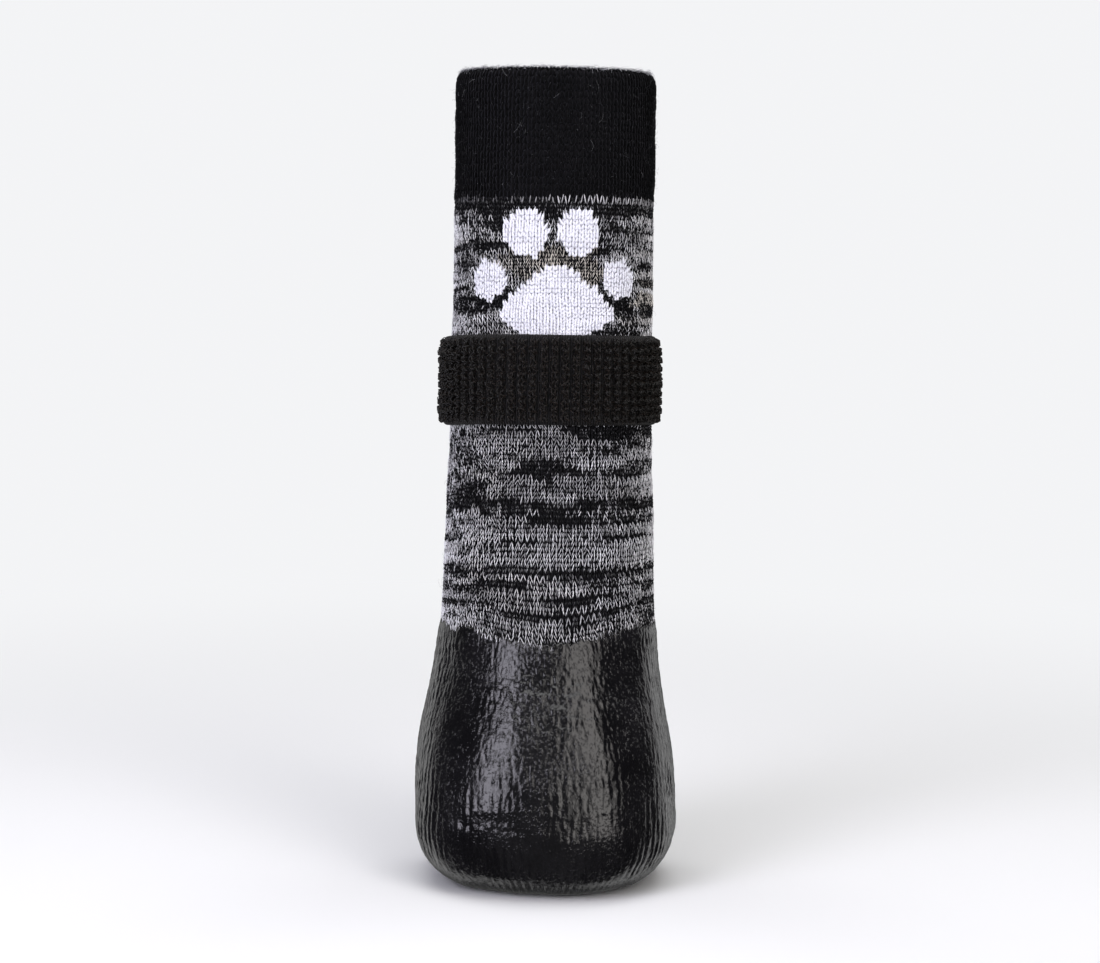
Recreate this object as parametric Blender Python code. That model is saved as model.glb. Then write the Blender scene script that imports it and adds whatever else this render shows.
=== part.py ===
"""Dog sock with a rubber-dipped foot and a hook-and-loop strap.

The leg is a knitted tube with a folded rib cuff. Its foot is a round, paw-like bulb inside a dipped
rubber boot with a flat sole. A loop-pile strap goes round the leg and is closed behind it by a hook tab.
+Z is up, the toe points along -Y, and the origin is on the floor under the middle of the bounding box.
Sizes are in millimetres until they reach the mesh, which is in metres.
"""

import collections
import math

import bmesh
import bpy
import numpy as np

MM = 0.001

# Foot, measured on the line where the rubber's face lies
BALL_WIDTH = 57.7
FOOT_LENGTH = 58.8
BALL_HEIGHT = 15.5
SIDE_ROUND = 11.8
TOE_ROUND = 11.6
HEEL_ROUND = 9.0

# Ankle, where the rubber ends
ANKLE_WIDTH = 47.9
ANKLE_HEIGHT = 56.4
ANKLE_BACK = 11.0

# Leg
COLLAR_HEIGHT = 179.3
LEG_LEAN = math.radians(5.6)
LEG_DEPTH_SHARE = 0.97
CUFF_LENGTH = 28.6

# Walls, all counted from the leg's outer face
KNIT_WALL = 1.7
CUFF_PROUD = 0.15
CUFF_WALL = 2.8
GAP = 0.3
RIM_PROUD = 0.7
RUBBER_PROUD = 0.6
RUBBER_WALL = 1.2
SOLE_WALL = 2.2
FOOT_KNIT_WALL = 1.2
STEP_LENGTH = 2.6
HEM_STEP = 1.6
RIM_ROUND = 0.5
RIM_BEVEL = 0.1

# The rubber's edge hangs lower at the middle of the front
DIP_DEPTH = 3.5
DIP_REACH = 16.0
DIP_NARROWNESS = 10

# Strap
STRAP_WIDTH = 20.0
STRAP_MIDDLE = 110.7
STRAP_THICKNESS = 2.3
SELVEDGE_WIDTH = 1.7
SELVEDGE_THICKNESS = 1.1
PILE_SHOULDER = 0.6
STRAP_END_GAP = 2.4
TAB_LENGTH = 32.0
TAB_THICKNESS = 1.2
TAB_EDGE = 0.4
TAB_PRESSES = 0.7

# Collar's roll, as a soft fold that is rounder outside
ROLL_HEIGHT = 3.0
ROLL_OUT = 1.9
ROLL_IN = 0.9

# Rings of the meshes: heights up the foot and leg, and turns in degrees round the foot's lower edge
SEGMENTS = 48
STRAP_SEGMENTS = 60
TAB_SEGMENTS = 14
FOOT_RINGS = (23.0, 30.0, 37.0, 44.0, 50.0)
LEG_RINGS = (66.0, 74.0, 83.0, 92.0, 101.0, 110.0, 119.0, 128.0, 138.0)
EDGE_TURNS = (0, 14, 30, 48, 68, 90)
SOLE_TURNS = (0, 12, 25, 38, 50, 62, 75, 90)
ROLL_TURNS_IN = (0, 35, 65, 90)
ROLL_TURNS_OUT = (90, 62, 36, 14, 0)

# From ball to ankle: how much of the ball's width, toe and heel is left at each height
FootSection = collections.namedtuple("FootSection", "height width toe heel corner")
FOOT_SECTIONS = (
    FootSection(BALL_HEIGHT, 1.00, 1.00, 1.00, 2.35),
    FootSection(23.0, 0.94, 0.95, 0.91, 2.30),
    FootSection(31.0, 0.75, 0.77, 0.72, 2.25),
    FootSection(39.5, 0.42, 0.48, 0.50, 2.15),
    FootSection(48.0, 0.14, 0.19, 0.26, 2.05),
)

# From ankle to collar: width of the leg's outer face
LegSection = collections.namedtuple("LegSection", "height width")
LEG_SECTIONS = (
    LegSection(ANKLE_HEIGHT, ANKLE_WIDTH),
    LegSection(66.0, 47.1),
    LegSection(80.0, 46.4),
    LegSection(96.0, 45.2),
    LegSection(118.0, 44.7),
    LegSection(140.0, 44.4),
    LegSection(160.0, 44.5),
    LegSection(COLLAR_HEIGHT, 44.6),
)


def mix(low, high, share):
    return low + (high - low) * share


def leg_axis(height):
    """How far behind the sole's middle the leg's axis lies."""
    return ANKLE_BACK + (height - ANKLE_HEIGHT) * math.tan(LEG_LEAN)


def section_rows():
    """One row per section: height, axis, half width, reach to the front, reach to the back, lean, corner."""
    ankle_reach = ANKLE_WIDTH / 2 * LEG_DEPTH_SHARE
    rows = []
    for foot in FOOT_SECTIONS:
        axis = mix(ANKLE_BACK, 0.0, foot.toe)
        front = mix(ankle_reach - ANKLE_BACK, FOOT_LENGTH / 2, foot.toe)
        back = mix(ankle_reach + ANKLE_BACK, FOOT_LENGTH / 2, foot.heel)
        half_width = mix(ANKLE_WIDTH, BALL_WIDTH, foot.width) / 2
        lean = LEG_LEAN * (1 - foot.toe)
        rows.append((foot.height, axis, half_width, front + axis, back - axis, lean, foot.corner))
    for leg in LEG_SECTIONS:
        reach = leg.width / 2 * LEG_DEPTH_SHARE
        rows.append((leg.height, leg_axis(leg.height), leg.width / 2, reach, reach, LEG_LEAN, 2.05))
    return np.array(rows)


ROWS = section_rows()
SLOPES = np.gradient(ROWS[:, 1:], ROWS[:, 0], axis=0)


def section_at(height):
    """The six values of a section at any height, on a cubic through the rows."""
    height = np.clip(height, ROWS[0, 0], ROWS[-1, 0])
    above = np.clip(np.searchsorted(ROWS[:, 0], height, side="right"), 1, len(ROWS) - 1)
    below = above - 1
    span = ROWS[above, 0] - ROWS[below, 0]
    t = ((height - ROWS[below, 0]) / span)[..., None]
    start, end = ROWS[below, 1:], ROWS[above, 1:]
    start_slope = SLOPES[below] * span[..., None]
    end_slope = SLOPES[above] * span[..., None]
    return (
        (2 * t**3 - 3 * t**2 + 1) * start
        + (t**3 - 2 * t**2 + t) * start_slope
        + (3 * t**2 - 2 * t**3) * end
        + (t**3 - t**2) * end_slope
    )


def dip(height, angle):
    """How far the rubber's edge hangs down, and what lies near it. Angle 0 is +X, 90 degrees the back."""
    nearness = np.clip(1 - np.abs(height - ANKLE_HEIGHT) / DIP_REACH, 0, 1)
    share = nearness**2 * (3 - 2 * nearness)
    return DIP_DEPTH * share * ((1 - np.sin(angle)) / 2) ** DIP_NARROWNESS


def skin(height, angle, proud, turn=0.0):
    """Points of the sock's face, this far proud of it. turn is 0 at the ball and 90 degrees on the floor."""
    height, angle, proud, turn = np.broadcast_arrays(
        *(np.asarray(value, float) for value in (height, angle, proud, turn))
    )
    level = height - dip(height, angle)
    axis, half_width, front, back, lean, corner = np.moveaxis(section_at(level), -1, 0)
    tucked = 1 - np.cos(turn)
    facing = np.arctan2(np.sin(turn) / BALL_HEIGHT, np.cos(turn) / SIDE_ROUND)
    outward = proud * np.cos(facing)
    half_width = half_width - SIDE_ROUND * tucked + outward
    front = front - TOE_ROUND * tucked + outward
    back = back - HEEL_ROUND * tucked + outward
    reach = np.where(np.sin(angle) < 0, front, back)
    radius = (
        np.abs(np.cos(angle) / half_width) ** corner
        + np.abs(np.sin(angle) / reach) ** corner
    ) ** (-1 / corner)
    across = radius * np.cos(angle)
    along = radius * np.sin(angle)
    rise = BALL_HEIGHT - SOLE_WALL - RUBBER_PROUD + RUBBER_WALL
    depth = rise * np.sin(turn) + proud * np.sin(facing)
    return np.stack(
        (across, axis + along * np.cos(lean), level - depth - along * np.sin(lean)),
        axis=-1,
    )


def ring(height, proud, turn_deg=0.0):
    """One closed ring of the sock's face."""
    angles = np.arange(SEGMENTS) * 2 * math.pi / SEGMENTS
    return skin(height, angles, proud, math.radians(turn_deg))


def collar_rings():
    """Rings over the cuff's fold, from its inner face to its outer one."""
    middle = CUFF_PROUD - CUFF_WALL + ROLL_IN
    rings = []
    for turn in ROLL_TURNS_IN:
        rise = math.sin(math.radians(turn))
        inward = math.cos(math.radians(turn))
        rings.append(ring(COLLAR_HEIGHT - ROLL_IN * (1 - rise), middle - ROLL_IN * inward))
    for turn in ROLL_TURNS_OUT:
        rise = math.sin(math.radians(turn))
        inward = 1 - math.cos(math.radians(turn))
        rings.append(ring(COLLAR_HEIGHT - ROLL_HEIGHT * (1 - rise), CUFF_PROUD - ROLL_OUT * inward))
    return rings


def new_material(name, colour, roughness):
    material = bpy.data.materials.new(name)
    material.use_nodes = True
    shader = material.node_tree.nodes["Principled BSDF"]
    shader.inputs["Base Color"].default_value = (*colour, 1)
    shader.inputs["Roughness"].default_value = roughness
    shader.inputs["Metallic"].default_value = 0
    return material


def add_object(name, mesh_data, material):
    mesh = bpy.data.meshes.new(name)
    bmesh.ops.recalc_face_normals(mesh_data, faces=mesh_data.faces)
    mesh_data.to_mesh(mesh)
    mesh_data.free()
    mesh.materials.append(material)
    mesh.shade_smooth()
    mesh.set_sharp_from_angle(angle=math.radians(40))
    item = bpy.data.objects.new(name, mesh)
    bpy.context.scene.collection.objects.link(item)
    return item


def bridge(mesh_data, first, second):
    """Quads between two closed rings of vertices."""
    for index in range(len(first)):
        after = (index + 1) % len(first)
        mesh_data.faces.new((first[index], first[after], second[after], second[index]))


def loft(name, rings, material):
    """One closed solid from rings of points, with a flat face on the first and on the last.

    A hollow piece's rings run from the bottom of its inside, over its rim, to the bottom of its outside.
    """
    mesh_data = bmesh.new()
    rows = [[mesh_data.verts.new(point * MM) for point in points] for points in rings]
    for first, second in zip(rows, rows[1:]):
        bridge(mesh_data, first, second)
    mesh_data.faces.new(rows[0])
    mesh_data.faces.new(reversed(rows[-1]))
    return add_object(name, mesh_data, material)


def make_knit_sock():
    """Cuff, leg and foot as one hollow knitted solid, open at the collar."""
    hem = COLLAR_HEIGHT - CUFF_LENGTH
    cuff_middle = hem + CUFF_LENGTH / 2
    cuff_inside = CUFF_PROUD - CUFF_WALL
    covered = RUBBER_PROUD - RUBBER_WALL - GAP
    lining = covered - FOOT_KNIT_WALL
    step = ANKLE_HEIGHT - STEP_LENGTH

    inside = [ring(BALL_HEIGHT, lining, turn) for turn in reversed(EDGE_TURNS)]
    inside += [ring(height, lining) for height in FOOT_RINGS]
    inside += [ring(step, lining), ring(ANKLE_HEIGHT, -KNIT_WALL)]
    inside += [ring(height, -KNIT_WALL) for height in LEG_RINGS]
    inside += [ring(hem - HEM_STEP, -KNIT_WALL), ring(hem, cuff_inside), ring(cuff_middle, cuff_inside)]

    outside = [ring(cuff_middle, CUFF_PROUD), ring(hem, CUFF_PROUD), ring(hem - HEM_STEP / 2, 0)]
    outside += [ring(height, 0) for height in reversed(LEG_RINGS)]
    outside += [ring(ANKLE_HEIGHT + GAP, 0), ring(step, covered)]
    outside += [ring(height, covered) for height in reversed(FOOT_RINGS)]
    outside += [ring(BALL_HEIGHT, covered, turn) for turn in EDGE_TURNS]
    wool = new_material("heather_knit", (0.13, 0.13, 0.14), 0.9)
    return loft("knit_sock", inside + collar_rings() + outside, wool)


def make_rubber_boot():
    """The dipped rubber: sides and a thicker flat sole in one, open at the ankle."""
    face_in = RUBBER_PROUD - RUBBER_WALL
    step = ANKLE_HEIGHT - STEP_LENGTH
    below_rim = ANKLE_HEIGHT - RIM_ROUND
    inside = [ring(BALL_HEIGHT, face_in, turn) for turn in reversed(EDGE_TURNS)]
    inside += [ring(height, face_in) for height in FOOT_RINGS]
    inside += [ring(step, face_in), ring(below_rim, GAP), ring(ANKLE_HEIGHT, GAP + RIM_BEVEL)]
    outside = [ring(ANKLE_HEIGHT, RIM_PROUD - RIM_BEVEL), ring(below_rim, RIM_PROUD)]
    outside += [ring(step, RUBBER_PROUD)]
    outside += [ring(height, RUBBER_PROUD) for height in reversed(FOOT_RINGS)]
    for turn in SOLE_TURNS:
        proud = mix(RUBBER_PROUD, SOLE_WALL + face_in, math.sin(math.radians(turn)))
        outside.append(ring(BALL_HEIGHT, proud, turn))
    rubber = new_material("dipped_rubber", (0.012, 0.012, 0.013), 0.3)
    return loft("rubber_boot", inside + outside, rubber)


def tape_profile(angle, profile):
    """One cross-section of a tape at this angle round the leg. The profile gives (across, proud) pairs."""
    across = np.array([point[0] for point in profile])
    proud = np.array([point[1] for point in profile])
    heights = STRAP_MIDDLE + (across - STRAP_WIDTH / 2) * math.cos(LEG_LEAN)
    return skin(heights, angle, proud)


def pressed(angle):
    """How far the tab presses the pile down at this angle: all of it behind the leg, none in front."""
    half_tab = TAB_LENGTH / ANKLE_WIDTH
    off_back = abs((angle - math.pi / 2 + math.pi) % (2 * math.pi) - math.pi)
    return TAB_PRESSES * min(1.0, max(0.0, (half_tab * 1.25 - off_back) / (half_tab * 0.2)))


def strap_profile(angle):
    """Flat selvedges with the loop pile standing between them."""
    face = GAP + STRAP_THICKNESS - pressed(angle)
    edge = GAP + SELVEDGE_THICKNESS
    inner = SELVEDGE_WIDTH + PILE_SHOULDER
    profile = (
        (0, GAP),
        (0, edge),
        (SELVEDGE_WIDTH, edge),
        (inner, face),
        (STRAP_WIDTH - inner, face),
        (STRAP_WIDTH - SELVEDGE_WIDTH, edge),
        (STRAP_WIDTH, edge),
        (STRAP_WIDTH, GAP),
    )
    return tape_profile(angle, profile)


def make_strap():
    """The loop tape round the leg. Its two ends almost meet behind it."""
    half_gap = STRAP_END_GAP / ANKLE_WIDTH
    start = math.pi / 2 + half_gap
    end = math.pi / 2 + 2 * math.pi - half_gap
    profiles = [strap_profile(angle) for angle in np.linspace(start, end, STRAP_SEGMENTS + 1)]
    return loft("strap", profiles, new_material("loop_pile", (0.016, 0.015, 0.015), 0.95))


def make_strap_tab():
    """The hook tape that holds both ends of the strap together."""
    inner = GAP + STRAP_THICKNESS - TAB_PRESSES + GAP
    outer = inner + TAB_THICKNESS
    profile = (
        (0, inner),
        (0, outer - TAB_EDGE),
        (TAB_EDGE, outer),
        (STRAP_WIDTH - TAB_EDGE, outer),
        (STRAP_WIDTH, outer - TAB_EDGE),
        (STRAP_WIDTH, inner),
    )
    half_tab = TAB_LENGTH / ANKLE_WIDTH
    turns = np.linspace(math.pi / 2 - half_tab, math.pi / 2 + half_tab, TAB_SEGMENTS + 1)
    profiles = [tape_profile(angle, profile) for angle in turns]
    return loft("strap_tab", profiles, new_material("hook_tape", (0.02, 0.02, 0.021), 0.7))


def centre_over_floor(items):
    """Moves the meshes so that the origin is on the floor under the middle of their common box."""
    points = np.array([vertex.co for item in items for vertex in item.data.vertices])
    middle = (points.min(axis=0) + points.max(axis=0)) / 2
    for item in items:
        for vertex in item.data.vertices:
            vertex.co.x -= middle[0]
            vertex.co.y -= middle[1]


for leftover in list(bpy.data.objects):
    bpy.data.objects.remove(leftover)

parts = [make_knit_sock(), make_rubber_boot(), make_strap(), make_strap_tab()]
centre_over_floor(parts)
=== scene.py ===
# Dog sock: a knitted leg with a paw, a foot dipped in rubber and a hook-and-loop strap.
# Lengths are in millimetres until skin() turns them into metres of the frame.
import math

import bpy
import numpy as np
from mathutils import Matrix, Vector


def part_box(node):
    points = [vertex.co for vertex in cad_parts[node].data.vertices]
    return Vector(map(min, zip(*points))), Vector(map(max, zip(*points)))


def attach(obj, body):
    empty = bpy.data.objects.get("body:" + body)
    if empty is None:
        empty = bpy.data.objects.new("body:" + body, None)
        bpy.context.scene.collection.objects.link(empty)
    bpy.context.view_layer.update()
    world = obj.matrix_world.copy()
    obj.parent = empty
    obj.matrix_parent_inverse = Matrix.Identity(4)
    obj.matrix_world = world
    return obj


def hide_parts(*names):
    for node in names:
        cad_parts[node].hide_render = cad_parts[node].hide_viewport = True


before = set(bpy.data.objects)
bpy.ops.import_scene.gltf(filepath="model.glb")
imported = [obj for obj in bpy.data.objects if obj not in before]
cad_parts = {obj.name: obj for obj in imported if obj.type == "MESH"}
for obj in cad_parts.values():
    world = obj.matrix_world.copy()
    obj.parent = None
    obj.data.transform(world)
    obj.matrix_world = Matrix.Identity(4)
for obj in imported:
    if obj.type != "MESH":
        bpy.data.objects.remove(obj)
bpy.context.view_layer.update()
print("frame loaded")

mm = 0.001
fullTurn = 2 * math.pi
front = -math.pi / 2  # angles run round the leg from +X, so the toe is at -90 degrees
rear = math.pi / 2

# The sock's form, which every piece is laid on
sock = {
    "ballWidth": 57.7,
    "footLength": 58.8,
    "ballHeight": 15.5,
    "sideRound": 11.8,
    "toeRound": 11.6,
    "heelRound": 9.0,
    "ankleWidth": 47.9,
    "ankleHeight": 56.4,
    "ankleBack": 11.0,
    "collarHeight": 179.3,
    "legLean": math.radians(5.6),
    "legDepthShare": 0.97,
    "legCorner": 2.05,
    "cuffLength": 28.6,
    "rubberProud": 0.6,
    "rubberWall": 1.2,
    "soleWall": 2.2,
    "dipDepth": 3.5,  # the rubber's edge hangs lower at the middle of the front
    "dipReach": 16.0,
    "dipNarrowness": 10,
    "sagLeft": 2.0,  # rows of the knit run lower on the left side and a little higher on the right
    "sagRight": -0.4,
    "sagNarrowness": 8,
    "slowWaves": 0.11,
    "quickWaves": 0.07,
    # height, share of the sag there
    "sagShares": ((56.4, 0), (66, 1), (94, 1), (101, 0.3), (120, 0.3), (142, 0.4), (149, 0)),
    # height, then how much of the ball's width, toe and heel is left, then how square the corner is
    "footSections": (
        (15.5, 1.00, 1.00, 1.00, 2.35),
        (23.0, 0.94, 0.95, 0.91, 2.30),
        (31.0, 0.75, 0.77, 0.72, 2.25),
        (39.5, 0.42, 0.48, 0.50, 2.15),
        (48.0, 0.14, 0.19, 0.26, 2.05),
    ),
    # height, width of the leg
    "legSections": (
        (56.4, 47.9),
        (66.0, 47.1),
        (80.0, 46.4),
        (96.0, 45.2),
        (118.0, 44.7),
        (140.0, 44.4),
        (160.0, 44.5),
        (179.3, 44.6),
    ),
}
legRadius = sock["ankleWidth"] / 2
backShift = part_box("rubber_boot")[0][1] / mm + sock["footLength"] / 2 + sock["rubberProud"]


# A straight line from low to high
def mix(low, high, share):
    return low + (high - low) * share


# From 0 to 1 with a soft start and end
def smoothStep(share):
    share = np.clip(share, 0, 1)
    return share * share * (3 - 2 * share)


# Angles spread evenly over a full turn
def roundAngles(count):
    return np.arange(count) * fullTurn / count


# One row per section: height, axis, half width, reach to the front and back, lean, corner
def sectionRows():
    ankleReach = legRadius * sock["legDepthShare"]
    halfFoot = sock["footLength"] / 2
    rows = []
    for height, width, toe, heel, corner in sock["footSections"]:
        axis = mix(sock["ankleBack"], 0.0, toe)
        reachFront = mix(ankleReach - sock["ankleBack"], halfFoot, toe) + axis
        reachBack = mix(ankleReach + sock["ankleBack"], halfFoot, heel) - axis
        halfWidth = mix(sock["ankleWidth"], sock["ballWidth"], width) / 2
        rows.append((height, axis, halfWidth, reachFront, reachBack, sock["legLean"] * (1 - toe), corner))
    for height, width in sock["legSections"]:
        axis = sock["ankleBack"] + (height - sock["ankleHeight"]) * math.tan(sock["legLean"])
        reach = width / 2 * sock["legDepthShare"]
        rows.append((height, axis, width / 2, reach, reach, sock["legLean"], sock["legCorner"]))
    return np.array(rows)


sections = sectionRows()
sectionSlopes = np.gradient(sections[:, 1:], sections[:, 0], axis=0)


# The six values of a section at any height, on a cubic through the rows
def sectionAt(height):
    height = np.clip(height, sections[0, 0], sections[-1, 0])
    above = np.clip(np.searchsorted(sections[:, 0], height, side="right"), 1, len(sections) - 1)
    below = above - 1
    span = (sections[above, 0] - sections[below, 0])[..., None]
    t = (height - sections[below, 0])[..., None] / span
    return (
        (2 * t**3 - 3 * t**2 + 1) * sections[below, 1:]
        + (t**3 - 2 * t**2 + t) * (sectionSlopes[below] * span)
        + (3 * t**2 - 2 * t**3) * sections[above, 1:]
        + (t**3 - t**2) * (sectionSlopes[above] * span)
    )


# How far the rubber's edge, and what lies near it, hangs down at this angle
def dip(height, angle):
    nearness = smoothStep(1 - np.abs(height - sock["ankleHeight"]) / sock["dipReach"])
    return sock["dipDepth"] * nearness * ((1 - np.sin(angle)) / 2) ** sock["dipNarrowness"]


# How far the rows of knit sag here: most at the very left and right of the leg
def sag(height, angle):
    left = ((1 - np.cos(angle)) / 2) ** sock["sagNarrowness"]
    right = ((1 + np.cos(angle)) / 2) ** sock["sagNarrowness"]
    heights, shares = np.array(sock["sagShares"]).T
    return np.interp(height, heights, shares) * (sock["sagLeft"] * left + sock["sagRight"] * right)


# Soft unevenness of the knitted leg, in waves up it and round it, which fades out towards the rubber
def unevenness(height, angle):
    slow = np.sin(height / 3.1 + 1.7 * np.sin(angle * 2 + 0.5)) * np.sin(angle * 3 + height / 11)
    quick = np.sin(height / 0.8 + 2.5 * np.cos(angle * 3)) * np.cos(angle * 5 - height / 6)
    waves = sock["slowWaves"] * slow + sock["quickWaves"] * quick
    return waves * smoothStep((height - sock["ankleHeight"] - 3) / 8)


# Points this far proud of the sock's face: a superellipse round the leg's axis, leaning with it.
# turn goes from 0 at the ball to 90 degrees on the floor. Above the last section the leg runs on straight.
def skin(height, angle, proud, turn=0.0):
    values = (np.asarray(value, float) for value in (height, angle, proud, turn))
    height, angle, proud, turn = np.broadcast_arrays(*values)
    level = height - dip(height, angle) - sag(height, angle)
    axis, halfWidth, reachFront, reachBack, lean, corner = np.moveaxis(sectionAt(level), -1, 0)
    tucked = 1 - np.cos(turn)
    facing = np.arctan2(np.sin(turn) / sock["ballHeight"], np.cos(turn) / sock["sideRound"])
    outward = proud * np.cos(facing) + unevenness(height, angle)
    halfWidth = halfWidth - sock["sideRound"] * tucked + outward
    reachFront = reachFront - sock["toeRound"] * tucked + outward
    reachBack = reachBack - sock["heelRound"] * tucked + outward
    reach = np.where(np.sin(angle) < 0, reachFront, reachBack)
    radius = np.abs(np.cos(angle) / halfWidth) ** corner + np.abs(np.sin(angle) / reach) ** corner
    radius = radius ** (-1 / corner)
    along = radius * np.sin(angle)
    rise = sock["ballHeight"] - sock["soleWall"] - sock["rubberProud"] + sock["rubberWall"]
    depth = rise * np.sin(turn) + proud * np.sin(facing)
    over = np.maximum(level - sock["collarHeight"], 0) * math.tan(sock["legLean"])
    back = axis + over + along * np.cos(lean) + backShift
    return np.stack((radius * np.cos(angle), back, level - depth - along * np.sin(lean)), axis=-1) * mm


# A map with a place on it for every corner of the faces
def addMap(mesh, name, cornerUv):
    mesh.uv_layers.new(name=name).uv.foreach_set("vector", np.asarray(cornerUv, np.float32).ravel())


# Puts points, faces of three or four corners, a map and a colour at each point into one object
def newPiece(name, points, corners, sizes, cornerUv, tone=None):
    mesh = bpy.data.meshes.new(name)
    mesh.vertices.add(len(points))
    mesh.vertices.foreach_set("co", np.asarray(points, np.float32).ravel())
    mesh.loops.add(len(corners))
    mesh.loops.foreach_set("vertex_index", np.asarray(corners, np.int32))
    mesh.polygons.add(len(sizes))
    mesh.polygons.foreach_set("loop_start", (np.cumsum(sizes) - sizes).astype(np.int32))
    mesh.update(calc_edges=True)
    mesh.shade_smooth()
    addMap(mesh, "OFBake", cornerUv)
    if tone is not None:
        rgba = np.ones((len(points), 4), np.float32)
        rgba[:, :3] = tone
        mesh.color_attributes.new("tone", "FLOAT_COLOR", "POINT").data.foreach_set("color", rgba.ravel())
    item = bpy.data.objects.new(name, mesh)
    bpy.context.scene.collection.objects.link(item)
    return item


# Faces of a closed skin whose points are a tip, rows closed round, and a tip: the point at every corner,
# how many corners each face has, and every corner's place on a square map
def skinFaces(rowCount, columnCount):
    column = np.arange(columnCount)[:, None]
    row = np.arange(rowCount - 1)[:, None, None]
    last = rowCount - 1
    blocks = (
        (row + (0, 1, 1, 0), column + (0, 0, 1, 1)),
        ((-1, 0, 0), column + (0.5, 0, 1)),
        ((rowCount, last, last), column + (0.5, 1, 0)),
    )
    blocks = [np.broadcast_arrays(*block) for block in blocks]
    rows, columns = (np.concatenate([block[way].ravel() for block in blocks]) for way in (0, 1))
    corners = 1 + rows * columnCount + columns.astype(int) % columnCount
    corners = np.clip(corners, 0, 1 + rowCount * columnCount)
    sizes = np.repeat((4, 3), (last * columnCount, 2 * columnCount))
    return corners, sizes, np.stack((columns / columnCount, (rows + 1) / (rowCount + 1)), -1)


# A skin of rows of points, closed round each row, with a point over the middle of each end.
# The rows run from the bottom of the inside, over the rim, to the middle of the underside.
# courses gives each row's place in rows of knitting, for a second map counted in stitches.
def shellPiece(name, rows, tone=None, courses=None):
    def withTips(values):
        return np.concatenate(([values[0].mean(0)], values.reshape(-1, 3), [values[-1].mean(0)]))

    corners, sizes, uv = skinFaces(*rows.shape[:2])
    item = newPiece(name, withTips(rows), corners, sizes, uv, None if tone is None else withTips(tone))
    if courses is not None:
        levels = (np.arange(len(rows)) + 1) / (len(rows) + 1)
        stitches = np.stack((uv[:, 0] * knit["wales"], np.interp(uv[:, 1], levels, courses)), -1)
        addMap(item.data, "courses", stitches)
    return item


# Rings of corners with a tip in the middle of the first ring and of the last
def tipped(rings):
    return np.concatenate((rings[:, :1].mean(2), rings.reshape(len(rings), -1, 3), rings[:, -1:].mean(2)), 1)


# Copies of one small tube, each with its own square on the map. points and tone have one row per copy:
# a tip, then rings of corners from the top down, then a tip.
def tubesPiece(name, points, ringCount, sideCount, tone=None):
    count = len(points)
    corners, sizes, uv = skinFaces(ringCount, sideCount)
    corners = corners + np.arange(count)[:, None] * points.shape[1]
    across = math.ceil(math.sqrt(count))
    cell = np.stack((np.arange(count) % across, np.arange(count) // across), -1)
    uv = (cell[:, None] + 0.1 + 0.8 * uv) / across
    tone = None if tone is None else np.broadcast_to(tone, points.shape).reshape(-1, 3)
    return newPiece(name, points.reshape(-1, 3), corners.ravel(), np.tile(sizes, count), uv, tone)


# Which CAD node a piece stands for, where it rides and which finish it takes
def place(item, materialName, slotName, *nodes):
    item.data.materials.append(bpy.data.materials[materialName])
    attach(item, "root")
    if nodes:
        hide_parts(*nodes)
    print(item.name, len(item.data.polygons), "faces")


# Gives a node its inputs: a value, an output to link, or a node that stands for its first output
def feed(tree, node, inputs):
    for name, value in inputs.items():
        if isinstance(value, bpy.types.Node):
            value = value.outputs[0]
        if isinstance(value, bpy.types.NodeSocket):
            tree.links.new(value, node.inputs[name])
        else:
            node.inputs[name].default_value = value


# Adds a shader node with its settings and inputs
def put(tree, kind, inputs=None, **settings):
    node = tree.nodes.new("ShaderNode" + kind)
    for name, value in settings.items():
        setattr(node, name, value)
    feed(tree, node, inputs or {})
    return node


# A sum, product or other reckoning of values
def reckon(tree, operation, *values):
    return put(tree, "Math", dict(enumerate(values)), operation=operation)


# A value carried from one range to another
def remap(tree, value, fromMin=0.0, fromMax=1.0, toMin=0.0, toMax=1.0, **settings):
    ends = {"From Min": fromMin, "From Max": fromMax, "To Min": toMin, "To Max": toMax}
    return put(tree, "MapRange", {"Value": value, **ends}, **settings)


# An empty node group: its inputs have starting values, which are colours or numbers
def newGroup(name, inputs, outputs):
    group = bpy.data.node_groups.new(name, "ShaderNodeTree")
    for socketName, value in inputs.items():
        kind = "NodeSocketColor" if isinstance(value, tuple) else "NodeSocketFloat"
        group.interface.new_socket(socketName, in_out="INPUT", socket_type=kind).default_value = value
    for socketName, kind in outputs.items():
        group.interface.new_socket(socketName, in_out="OUTPUT", socket_type="NodeSocket" + kind)
    return group, group.nodes.new("NodeGroupInput").outputs, group.nodes.new("NodeGroupOutput")


# A new material's nodes and its shader
def newMaterial(name):
    material = bpy.data.materials.new(name)
    material.use_nodes = True
    return material.node_tree, material.node_tree.nodes["Principled BSDF"]


# Loose fibres on yarn: stretched noise that lightens and darkens the colour a little and lifts the surface
def makeFibreGroup():
    inputs = {"Colour": (0.5, 0.5, 0.5, 1), "Scale": 3000.0, "Darkest": 0.7, "Lightest": 1.25, "Relief": 0.5}
    outputs = {"Colour": "Color", "Fluff": "Float", "Normal": "Vector"}
    group, given, result = newGroup("yarnFibres", inputs, outputs)
    lie = put(group, "Mapping", {"Vector": put(group, "TexCoord").outputs["Object"], "Scale": (1, 1, 0.45)})
    fluff = put(group, "TexNoise", {"Vector": lie, "Scale": given["Scale"], "Detail": 2.0, "Roughness": 0.6})
    spread = remap(group, fluff, 0.3, 0.7, given["Darkest"], given["Lightest"])
    tint = put(group, "VectorMath", {0: given["Colour"], "Scale": spread}, operation="SCALE")
    bump = put(group, "Bump", {"Height": fluff, "Strength": given["Relief"], "Distance": 0.0001})
    feed(group, result, {"Colour": tint, "Fluff": fluff, "Normal": bump})
    return group


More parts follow.
